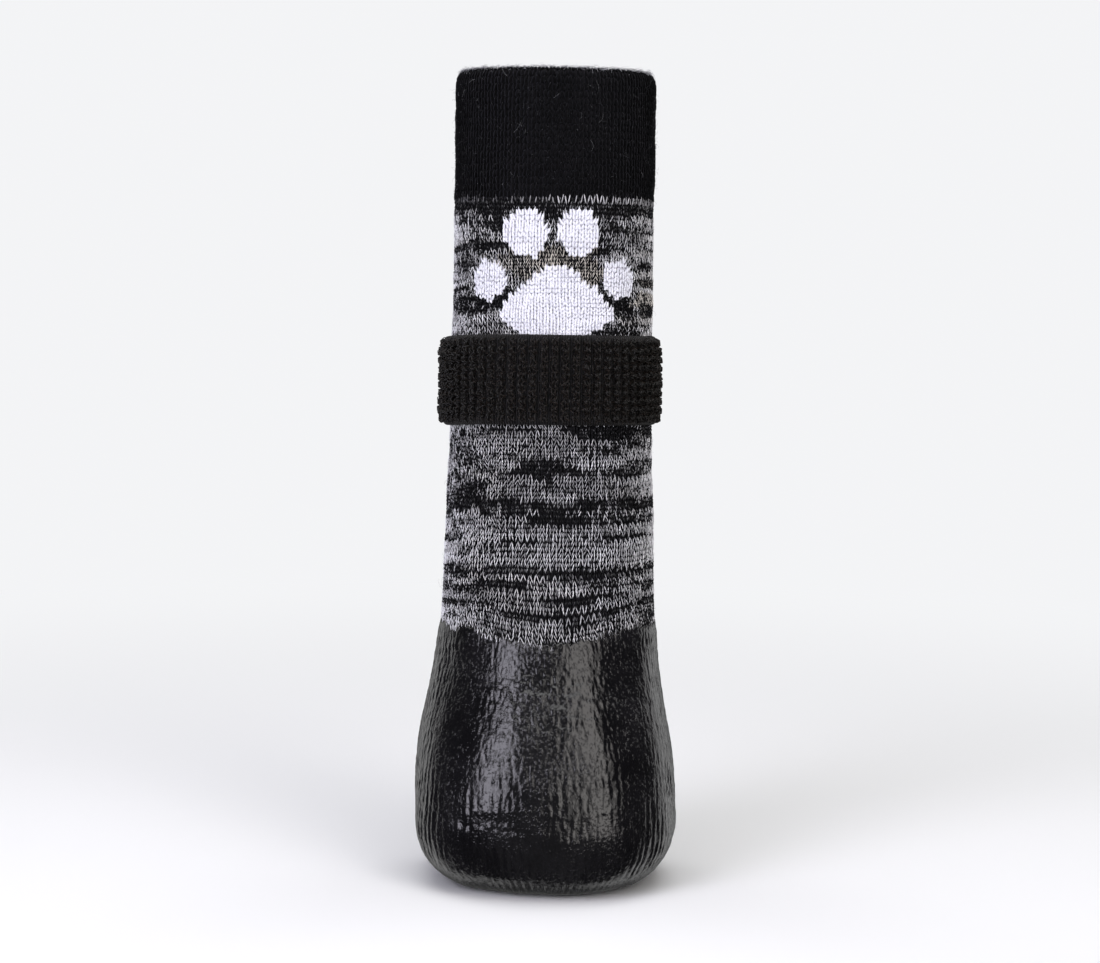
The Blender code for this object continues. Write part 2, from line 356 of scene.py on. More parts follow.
fibreGroup = makeFibreGroup()

# Yarns: dye, or None for the piece's own tone, then the fibres' scale, darkest, lightest and relief, then
# least and most roughness, sheen and its tint, specular level
yarns = {
    "heatherYarn": (None, 2600, 0.72, 1.22, 0.35, 0.80, 0.95, 0.04, (0.86, 0.86, 1.0), 0.08),
    "pawYarn": (None, 2600, 0.88, 1.09, 0.20, 0.80, 0.95, 0.04, (0.86, 0.86, 1.0), 0.08),
    "cuffYarn": (None, 2200, 0.70, 1.50, 0.50, 0.80, 1.00, 0.03, (0.80, 0.80, 1.0), 0.08),
    "knitGround": (None, 2600, 0.60, 1.40, 0.50, 0.90, 1.00, 0.02, (0.85, 0.85, 1.0), 0.05),
    "lint": (None, 2000, 0.80, 1.20, 0.10, 0.70, 0.90, 0.10, (0.90, 0.90, 1.0), 0.30),
    "tapeWeave": ((0.0135, 0.013, 0.0145), 3000, 0.60, 1.60, 0.60, 0.55, 0.80, 0.02, (1.0, 0.9, 0.82), 0.25),
    "tabWeave": ((0.0125, 0.012, 0.0135), 3200, 0.60, 1.60, 0.40, 0.45, 0.70, 0.03, (0.9, 0.9, 1.0), 0.40),
    "loopNylon": ((0.0025, 0.0023, 0.0022), 3400, 0.5, 1.6, 0.30, 0.22, 0.34, 0.05, (1.0, 0.72, 0.58), 0.42),
    "sewingThread": ((0.032, 0.032, 0.036), 4000, 0.70, 1.50, 0.40, 0.40, 0.60, 0.02, (1.0, 1.0, 1.0), 0.50),
}


# A material whose colour comes from the piece's own tone, or is one dyed colour, roughened by fibres
def makeYarn(name, dye, scale, darkest, lightest, relief, smoothest, roughest, sheen, tint, specular):
    tree, shader = newMaterial(name)
    colour = (*dye, 1) if dye else put(tree, "VertexColor", layer_name="tone")
    values = {"Colour": colour, "Scale": scale, "Darkest": darkest, "Lightest": lightest, "Relief": relief}
    fibres = put(tree, "Group", values, node_tree=fibreGroup).outputs
    rough = remap(tree, fibres["Fluff"], toMin=smoothest, toMax=roughest)
    feed(tree, shader, {"Base Color": fibres["Colour"], "Normal": fibres["Normal"], "Roughness": rough})
    feed(tree, shader, {"Sheen Weight": sheen, "Sheen Roughness": 0.45, "Sheen Tint": (*tint, 1)})
    feed(tree, shader, {"Specular IOR Level": specular})


for yarnName, finish in yarns.items():
    makeYarn(yarnName, *finish)


# Lays a pattern over a yarn material: it darkens the colour with the pattern's painted shade and lifts the
# surface above the fibres
def addPattern(materialName, pattern, values, depth):
    tree = bpy.data.materials[materialName].node_tree
    shader = tree.nodes["Principled BSDF"]
    colour, normal = (shader.inputs[name].links[0].from_socket for name in ("Base Color", "Normal"))
    laid = put(tree, "Group", values, node_tree=pattern).outputs
    shade = put(tree, "VectorMath", {0: colour, "Scale": laid["Shade"]}, operation="SCALE")
    bump = put(tree, "Bump", {"Height": laid["Height"], "Normal": normal, "Strength": 0.9, "Distance": depth})
    feed(tree, shader, {"Base Color": shade, "Normal": bump})


# The knitted leg: rows counted up it and wales, which are columns of stitches, counted round it
knit = {
    "wales": 100,
    "cuffHeight": 150.7,
    "lowestRow": 54.9,
    # height, distance between rows there
    "rowPitches": (
        (50.0, 1.05),
        (57.0, 1.02),
        (61.0, 0.93),
        (65.0, 0.90),
        (69.0, 0.98),
        (73.0, 1.14),
        (80.0, 1.00),
        (92.0, 0.90),
        (100.0, 0.84),
        (121.0, 0.76),
        (134.0, 0.78),
        (138.5, 0.95),
        (152.0, 0.98),
    ),
    "strapGap": (101.5, 119.8),  # rows hidden by the strap
    "wall": 1.7,
    "groundDepth": 0.35,
    "paleYarn": (0.85, 0.845, 0.89),
    "darkYarn": (0.0032, 0.0032, 0.0040),
    "warmYarnAndGlow": (0.86, 0.79, 0.70),
    "pawYarn": (0.83, 0.83, 0.915),
    "frontHalf": 19.5,  # beyond this the pattern is strewn, not placed by hand
    "streaks": 84,  # dark dashes knitted in at the sides and back
    "roundStripes": (69.3, 65.0, 62.3),  # rows that stay dark all the way round
    "stripeTone": 0.1,
    "darkBelow": 0.35,  # patches paler than this count as pale
    "thinStripe": 1.6,
    "pawFray": 0.32,
    "glint": 0.24,
    "mottling": 0.08,
    "sagging": 0.15,  # no row runs quite level
    "swaying": 0.09,
    "looseInFront": 0.05,
    "looseAtSides": 0.17,
    "strandSinks": 0.16,  # how far a strand lies deeper where it hardly shows
    "seed": 11,
}
waleStep = fullTurn / knit["wales"]

# Legs of a stitch, each a spindle: its rings of corners, each with its place along it and its width, how
# many corners a ring has, half the leg's width and thickness, half its length in rows, how far its ends lie
# from the stitch's middle in wales, how far it is sunk and how far its middle stands over its ends
plumpLeg = {
    "rings": ((0.15, 0.82), (-0.45, 1.0)),
    "sides": 4,
    "halfWidth": 0.40,
    "thickness": 0.15,
    "reach": 0.90,
    "top": 0.08,
    "bottom": 0.40,
    "sunk": 0.0,
    "lift": 0.16,
}
darkLeg = {
    "rings": ((-0.05, 1.0),),
    "sides": 4,
    "halfWidth": 0.33,
    "thickness": 0.24,
    "reach": 0.95,
    "top": 0.15,
    "bottom": 0.37,
    "sunk": -0.12,
    "lift": 0.18,
}
paleStrand = {
    "rings": ((0.55, 0.8), (-0.45, 1.0)),
    "sides": 3,
    "halfWidth": 0.147,
    "thickness": 0.13,
    "reach": 0.92,
    "top": 0.05,
    "bottom": 0.45,
    "sunk": 0.09,
    "lift": 0.16,
}

# Where the yarn lies dark or pale in front: left, right, top, bottom, paleness, warmth. Warmth is the warm
# yarn's share, and on the right flank also a painted warm glow of light from behind
yarnPatches = np.array((
    (-25.5, 25.5, 150.4, 148.0, 0.05, 0),
    (-25.5, -9.0, 148.3, 147.0, 0.30, 0),
    (-25.5, -19.3, 147.0, 144.2, 0.70, 0),
    (-19.3, -14.0, 147.0, 144.2, 0.40, 0),
    (-14.0, -10.0, 147.0, 143.0, 0.12, 0),
    (-25.5, -16.7, 143.9, 142.5, 0.80, 0),
    (-17.0, -11.5, 143.2, 141.6, 0.68, 0),
    (-20.0, -17.5, 142.3, 141.4, 0.15, 0),
    (-25.5, -17.0, 141.4, 140.6, 0.55, 0),
    (-17.0, -10.5, 141.4, 140.6, 0.15, 0),
    (-25.5, -10.0, 140.5, 139.0, 0.07, 0),
    (-25.5, -9.0, 138.9, 137.8, 0.88, 0),
    (-25.5, -17.5, 137.7, 136.8, 0.10, 0),
    (-25.5, -17.0, 136.7, 134.2, 0.68, 0),
    (-25.5, -17.5, 134.2, 131.8, 0.62, 0),
    (-25.5, -17.5, 131.7, 130.4, 0.25, 0),
    (-25.5, -17.5, 130.3, 129.2, 0.45, 0),
    (-25.5, -11.0, 129.2, 127.9, 0.10, 0),
    (-25.5, -17.5, 127.8, 126.7, 0.38, 0),
    (-17.5, -14.5, 127.8, 126.7, 0.06, 0),
    (-14.5, -10.5, 127.8, 125.8, 0.42, 0),
    (-25.5, -14.5, 126.6, 125.3, 0.10, 0),
    (-25.5, -10.5, 125.2, 121.2, 0.88, 0),
    (-25.5, -8.5, 121.2, 119.8, 0.62, 0),
    (-3.0, 2.5, 149.4, 146.2, 0.03, 0),
    (9.0, 25.5, 149.2, 147.0, 0.03, 0),
    (-1.5, 0.8, 146.2, 139.6, 0.45, 0),
    (10.0, 25.5, 146.9, 144.0, 0.66, 0),
    (13.4, 25.5, 143.9, 142.6, 0.06, 0),
    (9.6, 13.4, 143.9, 142.6, 0.42, 0),
    (9.6, 25.5, 142.5, 140.1, 0.66, 0),
    (10.0, 15.0, 140.2, 138.7, 0.10, 0),
    (15.0, 19.0, 140.2, 138.7, 0.62, 0),
    (19.0, 25.5, 140.2, 139.3, 0.12, 0),
    (15.5, 25.5, 138.6, 136.6, 0.60, 0),
    (18.5, 25.5, 136.5, 135.5, 0.12, 0),
    # on the right flank the warmth of these rows is a painted warm glow of light from behind
    (18.5, 25.5, 135.4, 133.0, 0.62, 0.2),
    (18.8, 25.5, 132.6, 130.6, 0.10, 0.6),
    (17.2, 25.5, 130.4, 127.0, 0.62, 0.6),
    (12.6, 17.2, 129.5, 124.4, 0.07, 0),
    (19.5, 25.5, 127.0, 124.6, 0.20, 0.4),
    (12.8, 25.5, 124.3, 122.9, 0.62, 0.2),
    (12.8, 25.5, 122.8, 121.9, 0.30, 0),
    (8.0, 25.5, 121.8, 119.8, 0.62, 0),
    (-6.0, 11.5, 139.6, 132.0, 0.92, 0.8),
    (-13.5, -6.0, 138.0, 132.5, 0.88, 0.5),
    (-11.0, -8.0, 131.0, 127.5, 0.12, 0),
    (9.4, 12.6, 132.4, 128.2, 0.12, 0),
    (-25.5, -4.0, 100.4, 99.4, 0.45, 0),
    (-25.5, -16.0, 99.3, 88.0, 0.62, 0),
    (3.7, 25.5, 100.3, 97.6, 0.14, 0),
    (8.0, 25.5, 97.5, 94.0, 0.66, 0),
    (-25.5, -9.0, 96.6, 95.4, 0.50, 0),
    (-6.4, 0.0, 92.9, 89.4, 0.05, 0),
    (0.2, 4.4, 93.4, 89.9, 0.30, 0),
    (4.4, 15.0, 92.3, 89.6, 0.50, 0),
    (15.0, 25.5, 92.9, 89.6, 0.22, 0),
    (-25.5, -17.0, 91.2, 89.2, 0.40, 0),
    (-25.5, -13.5, 89.6, 87.2, 0.28, 0),
    (-25.5, -12.9, 87.0, 81.8, 0.09, 0),
    (-12.9, -6.0, 84.0, 81.2, 0.14, 0),
    (5.9, 25.5, 84.9, 82.6, 0.12, 0),
    (-11.3, -1.0, 83.2, 81.8, 0.26, 0),
    (-1.0, 13.4, 82.8, 81.2, 0.32, 0),
    (13.4, 25.5, 82.3, 79.8, 0.55, 0),
    (-5.6, 12.5, 80.7, 79.0, 0.06, 0),
    (9.3, 25.5, 79.6, 78.6, 0.40, 0),
    (-25.5, -19.4, 76.6, 75.5, 0.12, 0),
    (-9.6, -2.2, 75.6, 74.4, 0.10, 0),
    (11.3, 25.5, 76.4, 75.2, 0.12, 0),
    (-26.5, 26.5, 69.6, 68.6, 0.05, 0),
    (-26.5, -17.0, 68.5, 67.7, 0.20, 0),
    (-2.0, 26.5, 68.5, 67.7, 0.40, 0),
    (-26.5, -17.5, 71.0, 69.8, 0.20, 0),
    (-26.5, -15.0, 66.5, 65.4, 0.08, 0),
    (-16.0, -2.8, 66.9, 65.4, 0.07, 0),
    (-26.5, -16.0, 65.3, 64.5, 0.25, 0),
    (10.0, 26.5, 66.4, 65.5, 0.14, 0),
    (-2.8, 17.0, 64.9, 64.0, 0.14, 0),
    (5.5, 12.5, 63.8, 62.7, 0.20, 0),
    (-26.5, -11.5, 63.2, 62.2, 0.08, 0),
    (-26.5, -17.0, 62.1, 61.3, 0.25, 0),
    (-13.0, 21.0, 62.1, 61.1, 0.04, 0),
    (11.0, 24.0, 61.1, 60.3, 0.40, 0),
    (3.0, 26.5, 59.6, 58.7, 0.22, 0),
    (20.0, 26.5, 57.2, 56.2, 0.15, 0),
))

# The paw's toes: middle across, middle height, half width, half height, tilt; the pad: height, half width
pawToes = np.array((
    (-6.30, 143.0, 5.10, 4.95, 0.00),
    (5.65, 143.2, 4.75, 4.90, -0.05),
    (-14.10, 132.8, 3.60, 4.45, 0.00),
    (14.45, 132.9, 3.35, 4.25, -0.06),
))
pawPad = np.array((
    (119.0, 4.2),
    (121.0, 7.6),
    (122.6, 11.0),
    (124.4, 12.7),
    (126.2, 12.5),
    (127.4, 11.9),
    (129.0, 10.4),
    (130.8, 8.4),
    (132.7, 6.2),
    (134.0, 4.9),
    (135.5, 2.6),
))
padMiddle = 0.8


# Distance between rows at a height, read off the table
def rowPitch(height):
    return np.interp(height, *np.array(knit["rowPitches"]).T)


# Heights of the rows from the cuff down: each is one pitch under the last, the pitch read off the table
def rowHeights():
    fine = np.linspace(knit["lowestRow"], knit["cuffHeight"], 2000)
    pitch = rowPitch(fine)
    count = np.concatenate(((0,), np.cumsum(np.diff(fine) / ((pitch[1:] + pitch[:-1]) / 2))))
    return np.interp(count[-1] - np.arange(int(count[-1]) + 1) - 0.5, count, fine)


# How far to the right of the middle a point of the front lies; behind, it goes on growing round the side
def acrossFront(height, angle):
    height, angle = np.broadcast_arrays(height, angle)
    halfWidth = sectionAt(height)[..., 1]
    past = np.arcsin(np.clip(np.sin(angle), 0, 1))
    side = np.where(np.cos(angle) < 0, -1, 1)
    return np.where(np.sin(angle) < 0, halfWidth * np.cos(angle), side * halfWidth * (1 + past))


# True where the white yarn of the paw is knitted in: four rounded toes over a pad
def inPaw(height, across):
    padWidth = np.interp(height, pawPad[:, 0], pawPad[:, 1], left=0, right=0)
    found = np.abs(across - padMiddle) < padWidth
    for middle, level, halfWidth, halfHeight, tilt in pawToes:
        side = (across - middle - tilt * (height - level)) / halfWidth
        found |= ((height - level) / halfHeight) ** 2 + side**2 < 1
    return found


# How far a stitch of the paw lies to the side of its toe's or the pad's middle, from -1 to 1
def pawLean(height, across):
    lean = np.clip((across - padMiddle) / 22, -0.5, 0.5)
    for middle, level, halfWidth, halfHeight, _ in pawToes:
        side = (across - middle) / halfWidth
        near = np.hypot((height - level) / halfHeight, side) < 1.25
        lean = np.where(near, np.clip(side, -1, 1), lean)
    return lean


# Smooth noise round the leg, longer along the rows than across them, with spread 1
def streakNoise(shape, along, across, rng):
    noise = rng.standard_normal(shape)
    wave = np.fft.fftfreq(shape[1])[None, :] ** 2 * along**2
    climb = np.fft.fftfreq(shape[0])[:, None] ** 2 * across**2
    smooth = np.fft.ifft2(np.fft.fft2(noise) * np.exp(-2 * math.pi**2 * (wave + climb))).real
    return smooth / smooth.std()


# The rows of a patch: at least one, and the ones nearest its middle. Strands reach into the rows next to
# theirs, so a dark patch takes more rows than its height and a pale one fewer. A tall patch frays.
def patchRows(heights, top, bottom, extra=0.7, fray=0):
    rows = np.arange(len(heights))
    middle = np.interp((top + bottom) / 2, heights[::-1], rows[::-1])
    count = max(1, round((top - bottom) / rowPitch((top + bottom) / 2) + extra))
    first = math.floor(middle - (count - 1) / 2 + 0.5)
    rows = rows[:, None] + fray * (count > 4)
    return (rows >= first) & (rows < first + count)


# Share of pale yarn and warmth at each stitch: nearly all pale, with dark dashes strewn at the sides and
# back, stripes that go all round, and the patches in front
def yarnChart(heights, angles, rng):
    shape = (len(heights), len(angles))
    pale = 0.93 + 0.05 * streakNoise(shape, 12, 0.4, rng) + 0.05 * streakNoise(shape, 3, 0.5, rng)
    warmAndGlow = 0.10 * smoothStep(streakNoise(shape, 5, 2, rng) - 0.6)
    ragged = 1.3 * streakNoise(shape, 1.2, 0.6, rng)
    fray = np.rint(0.75 * streakNoise(shape, 1.0, 1.5, rng))
    height = heights[:, None]
    across = acrossFront(height, angles)
    elsewhere = np.clip((np.abs(across) - knit["frontHalf"]) / 3, 0, 1)
    rows, wales = np.arange(shape[0])[:, None], np.arange(shape[1])
    for _ in range(knit["streaks"]):
        row, start = rng.integers(0, shape[0]), rng.integers(0, shape[1])
        length, tall = 6 + rng.gamma(2.0, 7.0), rng.choice((1, 1, 1, 1, 2, 2, 3))
        fromEnd = (wales - start) % shape[1]
        fade = np.clip(np.minimum(fromEnd, length - fromEnd) / 3.5, 0, 1) + 0.12 * ragged
        inside = (rows >= row) & (rows < row + tall) & (fromEnd < length)
        pale = mix(pale, rng.uniform(0.05, 0.3), np.where(inside, np.clip(fade, 0, 1), 0) * elsewhere)
    for level in knit["roundStripes"]:
        pale = mix(pale, knit["stripeTone"], patchRows(heights, level, level) * elsewhere)
    # a patch's warmth is the warm yarn's share, and on the right flank a painted warm glow of light from
    # behind
    for left, right, top, bottom, paleness, warmthAndGlow in yarnPatches:
        extra = 0.1 if top - bottom < knit["thinStripe"] else 0.7
        extra = extra if paleness < knit["darkBelow"] else -0.3
        inside = (across > left + ragged) & (across < right + ragged)
        inside &= patchRows(heights, top, bottom, extra, fray)
        pale = np.where(inside, paleness, pale)
        warmAndGlow = np.where(inside, warmthAndGlow, warmAndGlow)
    # each leg of a stitch is in the paw or out of it, and the outline frays from stitch to stitch
    legAngle = angles[None, :, None] + np.array((-0.12, 0.12)) * fullTurn / shape[1]
    legHeight = height[..., None] + rng.normal(0, knit["pawFray"], (*shape, 1))
    return pale, warmAndGlow, inPaw(legHeight, acrossFront(legHeight, legAngle))


# The corners of one kind of leg: their places along it, outwards and sideways, from its top tip down
def legTemplate(leg):
    side = roundAngles(leg["sides"])
    rings = [(0 * side + ring, width * np.cos(side), width * np.sin(side)) for ring, width in leg["rings"]]
    return np.hstack(([[1], [0], [0]], *rings, [[-1], [0], [0]]))


# The points of stitch legs, which lie along the row's height from a top angle to a bottom angle, bowed
# outwards. Each array has one value per leg, as have the width and how proud it lies.
def legPoints(leg, height, reach, topAngle, bottomAngle, halfWidth, proud, surface=skin):
    along, outward, sideways = legTemplate(leg)
    values = np.broadcast_arrays(height, reach, topAngle, bottomAngle, halfWidth, proud)
    height, reach, topAngle, bottomAngle, halfWidth, proud = (value.reshape(-1, 1) for value in values)
    angle = mix(bottomAngle, topAngle, (along + 1) / 2) + sideways * halfWidth / legRadius
    bow = leg["lift"] * (1 - along**2) + proud
    return surface(height + along * reach, angle, bow + outward * leg["thickness"])


# Painted shade: full colour on a leg's outside, less at its sides and ends, least behind, where shade falls
# between the legs: one value per corner
def paintedLegShade(leg, end, behind):
    shade = mix(behind, 1.0, smoothStep(0.5 + 0.6 * legTemplate(leg)[1]))
    shade[[0, -1]] = end
    return shade[:, None]


# Two legs for every stitch: a dark ply, and a pale strand over it where the pale ply shows; in the paw one
# plump white leg
def makeStitches():
    rng = np.random.default_rng(knit["seed"])
    heights = rowHeights()
    angles = front + (np.arange(knit["wales"]) - knit["wales"] / 2) * waleStep
    pale, warmAndGlow, paw = yarnChart(heights, angles, rng)
    shape = (*pale.shape, 2)

    def streaks(along, across):
        return streakNoise(pale.shape, along, across, rng)[..., None]

    # the pale ply twists round the dark one: it shows where its share beats a number drawn for that leg
    hidden = 0.8 * rng.standard_normal(shape) + 0.6 * streaks(1.5, 0.3)
    hidden = 1 / (1 + np.exp(-1.7 * hidden))
    shown = smoothStep(0.5 + 1.3 * (pale[..., None] - hidden))
    yarn = mix(np.array(knit["paleYarn"]), np.array(knit["warmYarnAndGlow"]), warmAndGlow[..., None, None])
    mottled = 1 + knit["mottling"] * streaks(5, 1.5)
    # some strands catch more light than others, and neighbours in a row do so together
    glint = 0.5 * streaks(2.0, 0.3) + 0.7 * rng.standard_normal(shape)
    strandTone = yarn * (shown * np.clip((0.84 + knit["glint"] * glint) * mottled, 0.25, 1.15))[..., None]
    strandTone = np.maximum(strandTone, yarn * rng.uniform(-0.03, 0.13, (*shape, 1)).clip(0.015))
    plump = rng.uniform(0.92, 1.08, shape)
    side = np.array((-1, 1))
    sagging = knit["sagging"] * streaks(2.2, 0.8)
    swaying = knit["swaying"] * waleStep * streaks(1.2, 3)
    angle = angles[None, :, None] + swaying + rng.normal(0, 0.0022, shape)
    toSide = smoothStep((np.abs(acrossFront(heights[:, None, None], angle)) - 9) / 9)
    loose = knit["looseInFront"] + knit["looseAtSides"] * toSide
    height = heights[:, None, None] + sagging + loose * rng.standard_normal(shape)
    pitch = np.broadcast_to(rowPitch(heights)[:, None, None], shape)
    # strands turn a little off the leg they lie on
    twist = rng.normal(0, 0.055, shape) + 0.05 * streaks(5, 3)
    long = rng.uniform(0.72, 1.25, shape)

    def spindles(name, leg, chosen, width, proud, tone, end, behind, twist=0.0, stretch=1.0, raised=0.0):
        points = legPoints(
            leg,
            (height + raised * pitch)[chosen],
            (pitch * leg["reach"] * stretch)[chosen],
            (angle + (side * leg["top"] + twist) * waleStep)[chosen],
            (angle + (side * leg["bottom"] - twist) * waleStep)[chosen],
            leg["halfWidth"] * width[chosen],
            (proud + leg["sunk"])[chosen],
        )
        # each leg's tone is darkened at its sides, ends and behind by painted shade
        colour = tone[chosen][:, None, :] * paintedLegShade(leg, end, behind)
        item = tubesPiece(name, points, len(leg["rings"]), leg["sides"], colour)
        place(item, "pawYarn" if leg is plumpLeg else "heatherYarn", "heather_knit")

    upper = ~paw & (height > knit["strapGap"][1])
    lower = ~paw & (height < knit["strapGap"][0])
    flat = np.zeros(shape)
    darkTone = np.array(knit["darkYarn"]) * rng.uniform(0.6, 1.6, shape)[..., None]
    pawTone = np.array(knit["pawYarn"]) * rng.uniform(0.97, 1.03, shape)[..., None]
    strandWidth = (0.6 + 0.4 * shown) * rng.uniform(0.8, 1.2, shape)
    # the two numbers after each tone, here and in petals and strands, are the painted shade at a leg's ends
    # and behind it
    spindles("yarn_dark_upper", darkLeg, upper, plump, flat, darkTone, 0.6, 0.5)
    spindles("yarn_dark_lower", darkLeg, lower, plump, flat, darkTone, 0.6, 0.5)
    # the white legs at a toe's edge spread like petals: the top ones are longer and lean outwards
    topEdge = paw & ~np.roll(paw, 1, axis=0)
    line = paw.reshape(len(heights), -1)
    sideEdge = 1.0 * (line & ~np.roll(line, -1, axis=1)) - 1.0 * (line & ~np.roll(line, 1, axis=1))
    lean = pawLean(height, np.clip(acrossFront(height, angle), -30, 30))
    fanned = 0.5 * twist + 0.03 * side + topEdge * 0.34 * lean + 0.12 * sideEdge.reshape(shape)
    petals = (pawTone, 0.97, 0.85, fanned, 1 + 0.40 * topEdge, 0.30 * topEdge)
    spindles("paw", plumpLeg, paw & (height > knit["strapGap"][1]), plump, flat, *petals)
    strands = (strandWidth, -knit["strandSinks"] * (1 - shown), strandTone, 0.6, 0.4, twist, long)
    spindles("yarn_pale_upper", paleStrand, upper, *strands)
    spindles("yarn_pale_lower", paleStrand, lower, *strands)


makeStitches()

cuff = {
    "columns": 150,
    "rowPitch": 1.46,
    "proud": 0.15,
    "wall": 2.8,
    "rollHeight": 3.0,
    "rollOut": 1.9,
    "rollIn": 0.9,
    "insideLength": 12.0,
    "yarn": (0.0023, 0.0022, 0.0027),
    "seed": 23,
}
ribLeg = {
    "rings": ((0.5, 0.9), (-0.5, 1.0)),
    "sides": 4,
    "halfWidth": 0.44,
    "thickness": 0.13,
    "reach": 0.66,
    "lean": 0.16,
    "lift": 0.10,
}


# The cuff's cross-section as a path of distance from the hem: up the outside, over the fold, down the inside.
# It gives height, how proud it lies, and the direction that points away from the wool.
def cuffPath(distance):
    hem = knit["cuffHeight"]
    straight = sock["collarHeight"] - cuff["rollHeight"] - hem
    outLength = math.pi / 4 * (cuff["rollHeight"] + cuff["rollOut"])
    inLength = math.pi / 4 * 2 * cuff["rollIn"]
    flat = cuff["wall"] - cuff["rollOut"] - cuff["rollIn"]
    distance = np.asarray(distance, float)
    outTurn = np.clip((distance - straight) / outLength, 0, 1) * math.pi / 2
    overFlat = np.clip(distance - straight - outLength, 0, flat)
    inTurn = np.clip((distance - straight - outLength - flat) / inLength, 0, 1) * math.pi / 2
    below = np.maximum(distance - straight - outLength - flat - inLength, 0)
    height = hem + np.minimum(distance, straight) + cuff["rollHeight"] * np.sin(outTurn)
    height = height - cuff["rollIn"] * (1 - np.cos(inTurn)) - below
    proud = cuff["proud"] - cuff["rollOut"] * (1 - np.cos(outTurn)) - overFlat
    proud = proud - cuff["rollIn"] * np.sin(inTurn)
    return height, proud, np.sin(outTurn + inTurn), np.cos(outTurn + inTurn)


# A point this far off the cuff's own face
def cuffSkin(distance, angle, off):
    height, proud, up, out = cuffPath(distance)
    return skin(height + up * off, angle, proud + out * off)


# Ribs of knit legs that lean one way and the other, from the hem up and over the fold
def makeCuff():
    rng = np.random.default_rng(cuff["seed"])
    length = sock["cuffLength"] + cuff["wall"] + cuff["insideLength"]
    rows = np.arange(int(length / cuff["rowPitch"])) * cuff["rowPitch"] + 0.55 * cuff["rowPitch"]
    step = fullTurn / cuff["columns"]
    columns = np.arange(cuff["columns"])
    shape = (len(rows), len(columns))
    distance = rows[:, None] + rng.normal(0, 0.12, shape)
    lean = np.where(columns % 2 == 0, 1, -1) * step * ribLeg["lean"]
    angle = columns * step + rng.normal(0, 0.0025, shape)
    halfWidth = ribLeg["halfWidth"] * rng.uniform(0.7, 1.15, shape)
    reach = cuff["rowPitch"] * ribLeg["reach"]
    points = legPoints(ribLeg, distance, reach, angle - lean, angle + lean, halfWidth, 0.0, cuffSkin)
    mottled = np.clip(1 + 0.35 * streakNoise(shape, 3, 5, rng), 0.4, 1.9).reshape(-1, 1, 1)
    # random tone for each stitch, times painted shade at each leg's sides, ends and behind
    shade = mottled * rng.uniform(0.55, 1.35, (distance.size, 1, 1)) * paintedLegShade(ribLeg, 0.7, 0.5)
    tone = shade * np.array(cuff["yarn"])
    item = tubesPiece("cuff_rib", points, len(ribLeg["rings"]), ribLeg["sides"], tone)
    place(item, "cuffYarn", "heather_knit")


makeCuff()

# The row of pale stitches that joins the cuff to the leg
seam = {
    "height": 150.5,
    "stitches": 94,
    "yarn": (0.68, 0.67, 0.71),
    "seed": 5,
    # how bright the two legs of a stitch are along the front: across, left leg, right leg
    "shown": (
        (-22.5, 0.06, 0.04),
        (-20.0, 0.20, 0.12),
        (-12.6, 0.28, 0.14),
        (-12.2, 0.04, 0.04),
        (-10.0, 0.04, 0.04),
        (-9.6, 0.38, 0.20),
        (-1.0, 0.50, 0.25),
        (0.5, 0.95, 0.90),
        (15.0, 0.95, 0.85),
        (20.0, 0.60, 0.40),
        (22.5, 0.30, 0.20),
    ),
}
seamLeg = {
    "rings": ((0.5, 0.85), (-0.5, 1.0)),
    "sides": 4,
    "halfWidth": 0.165,
    "thickness": 0.15,
    "reach": 1.25,
    "top": 0.07,
    "bottom": 0.40,
    "sunk": 0.12,
    "lift": 0.28,
}


# Two legs a stitch, which sink where they hardly show
def makeSeamRow():
    rng = np.random.default_rng(seam["seed"])
    step = fullTurn / seam["stitches"]
    middle = front + (np.arange(seam["stitches"]) - seam["stitches"] / 2 + 0.5) * step
    side = np.array((-1, 1))
    angle = middle[:, None] + 0 * side + rng.normal(0, 0.004, (len(middle), 1))
    across = acrossFront(seam["height"], middle)
    places, *legs = np.array(seam["shown"]).T
    shown = np.stack([np.interp(across, places, leg) for leg in legs], -1)
    behind = (0.35 + 0.35 * streakNoise((1, len(middle)), 4, 0, rng)[0])[:, None]
    shown = np.where(np.abs(across[:, None]) > 25, behind, shown) * rng.uniform(0.5, 1.1, angle.shape)
    # where little of the row shows, it is a bright leg here and there
    often = np.clip(0.55 + 0.5 * shown, 0, 0.94)
    shown = np.where(rng.random(angle.shape) < often, shown / np.clip(often + 0.1, 0.4, 1), 0.03)
    points = legPoints(
        seamLeg,
        seam["height"] + rng.normal(0, 0.16, angle.shape),
        seamLeg["reach"] * rng.uniform(0.8, 1.15, angle.shape),
        angle + side * seamLeg["top"] * step,
        angle + side * seamLeg["bottom"] * step,
        seamLeg["halfWidth"] * rng.uniform(0.75, 1.2, angle.shape),
        seamLeg["sunk"] - 0.3 * (1 - shown),
    )
    # how much of the pale yarn shows, times painted shade at each leg's sides, ends and behind
    tone = shown.reshape(-1, 1, 1) * np.array(seam["yarn"]) * paintedLegShade(seamLeg, 0.6, 0.4)
    item = tubesPiece("hem_row", points, len(seamLeg["rings"]), seamLeg["sides"], tone)
    place(item, "heatherYarn", "heather_knit")


makeSeamRow()

# The knitted wall behind the stitches, with the purl side inside
wall = {
    "columns": 200,
    "rowsOut": 96,
    "rowsIn": 100,
    "rowsFold": 60,
    "rowsLining": 24,
    "rowsCovered": 20,
    "footCovered": -0.9,
    "footLining": -2.1,
    "stepLength": 2.6,
    "ground": (0.0035, 0.0035, 0.0042),
    "pawGround": (0.72, 0.71, 0.82),
    "pawRaised": 0.33,
    "insideYarn": (0.014, 0.014, 0.016),
    "insideLight": (0.20, 0.20, 0.22),
    "seed": 31,
}
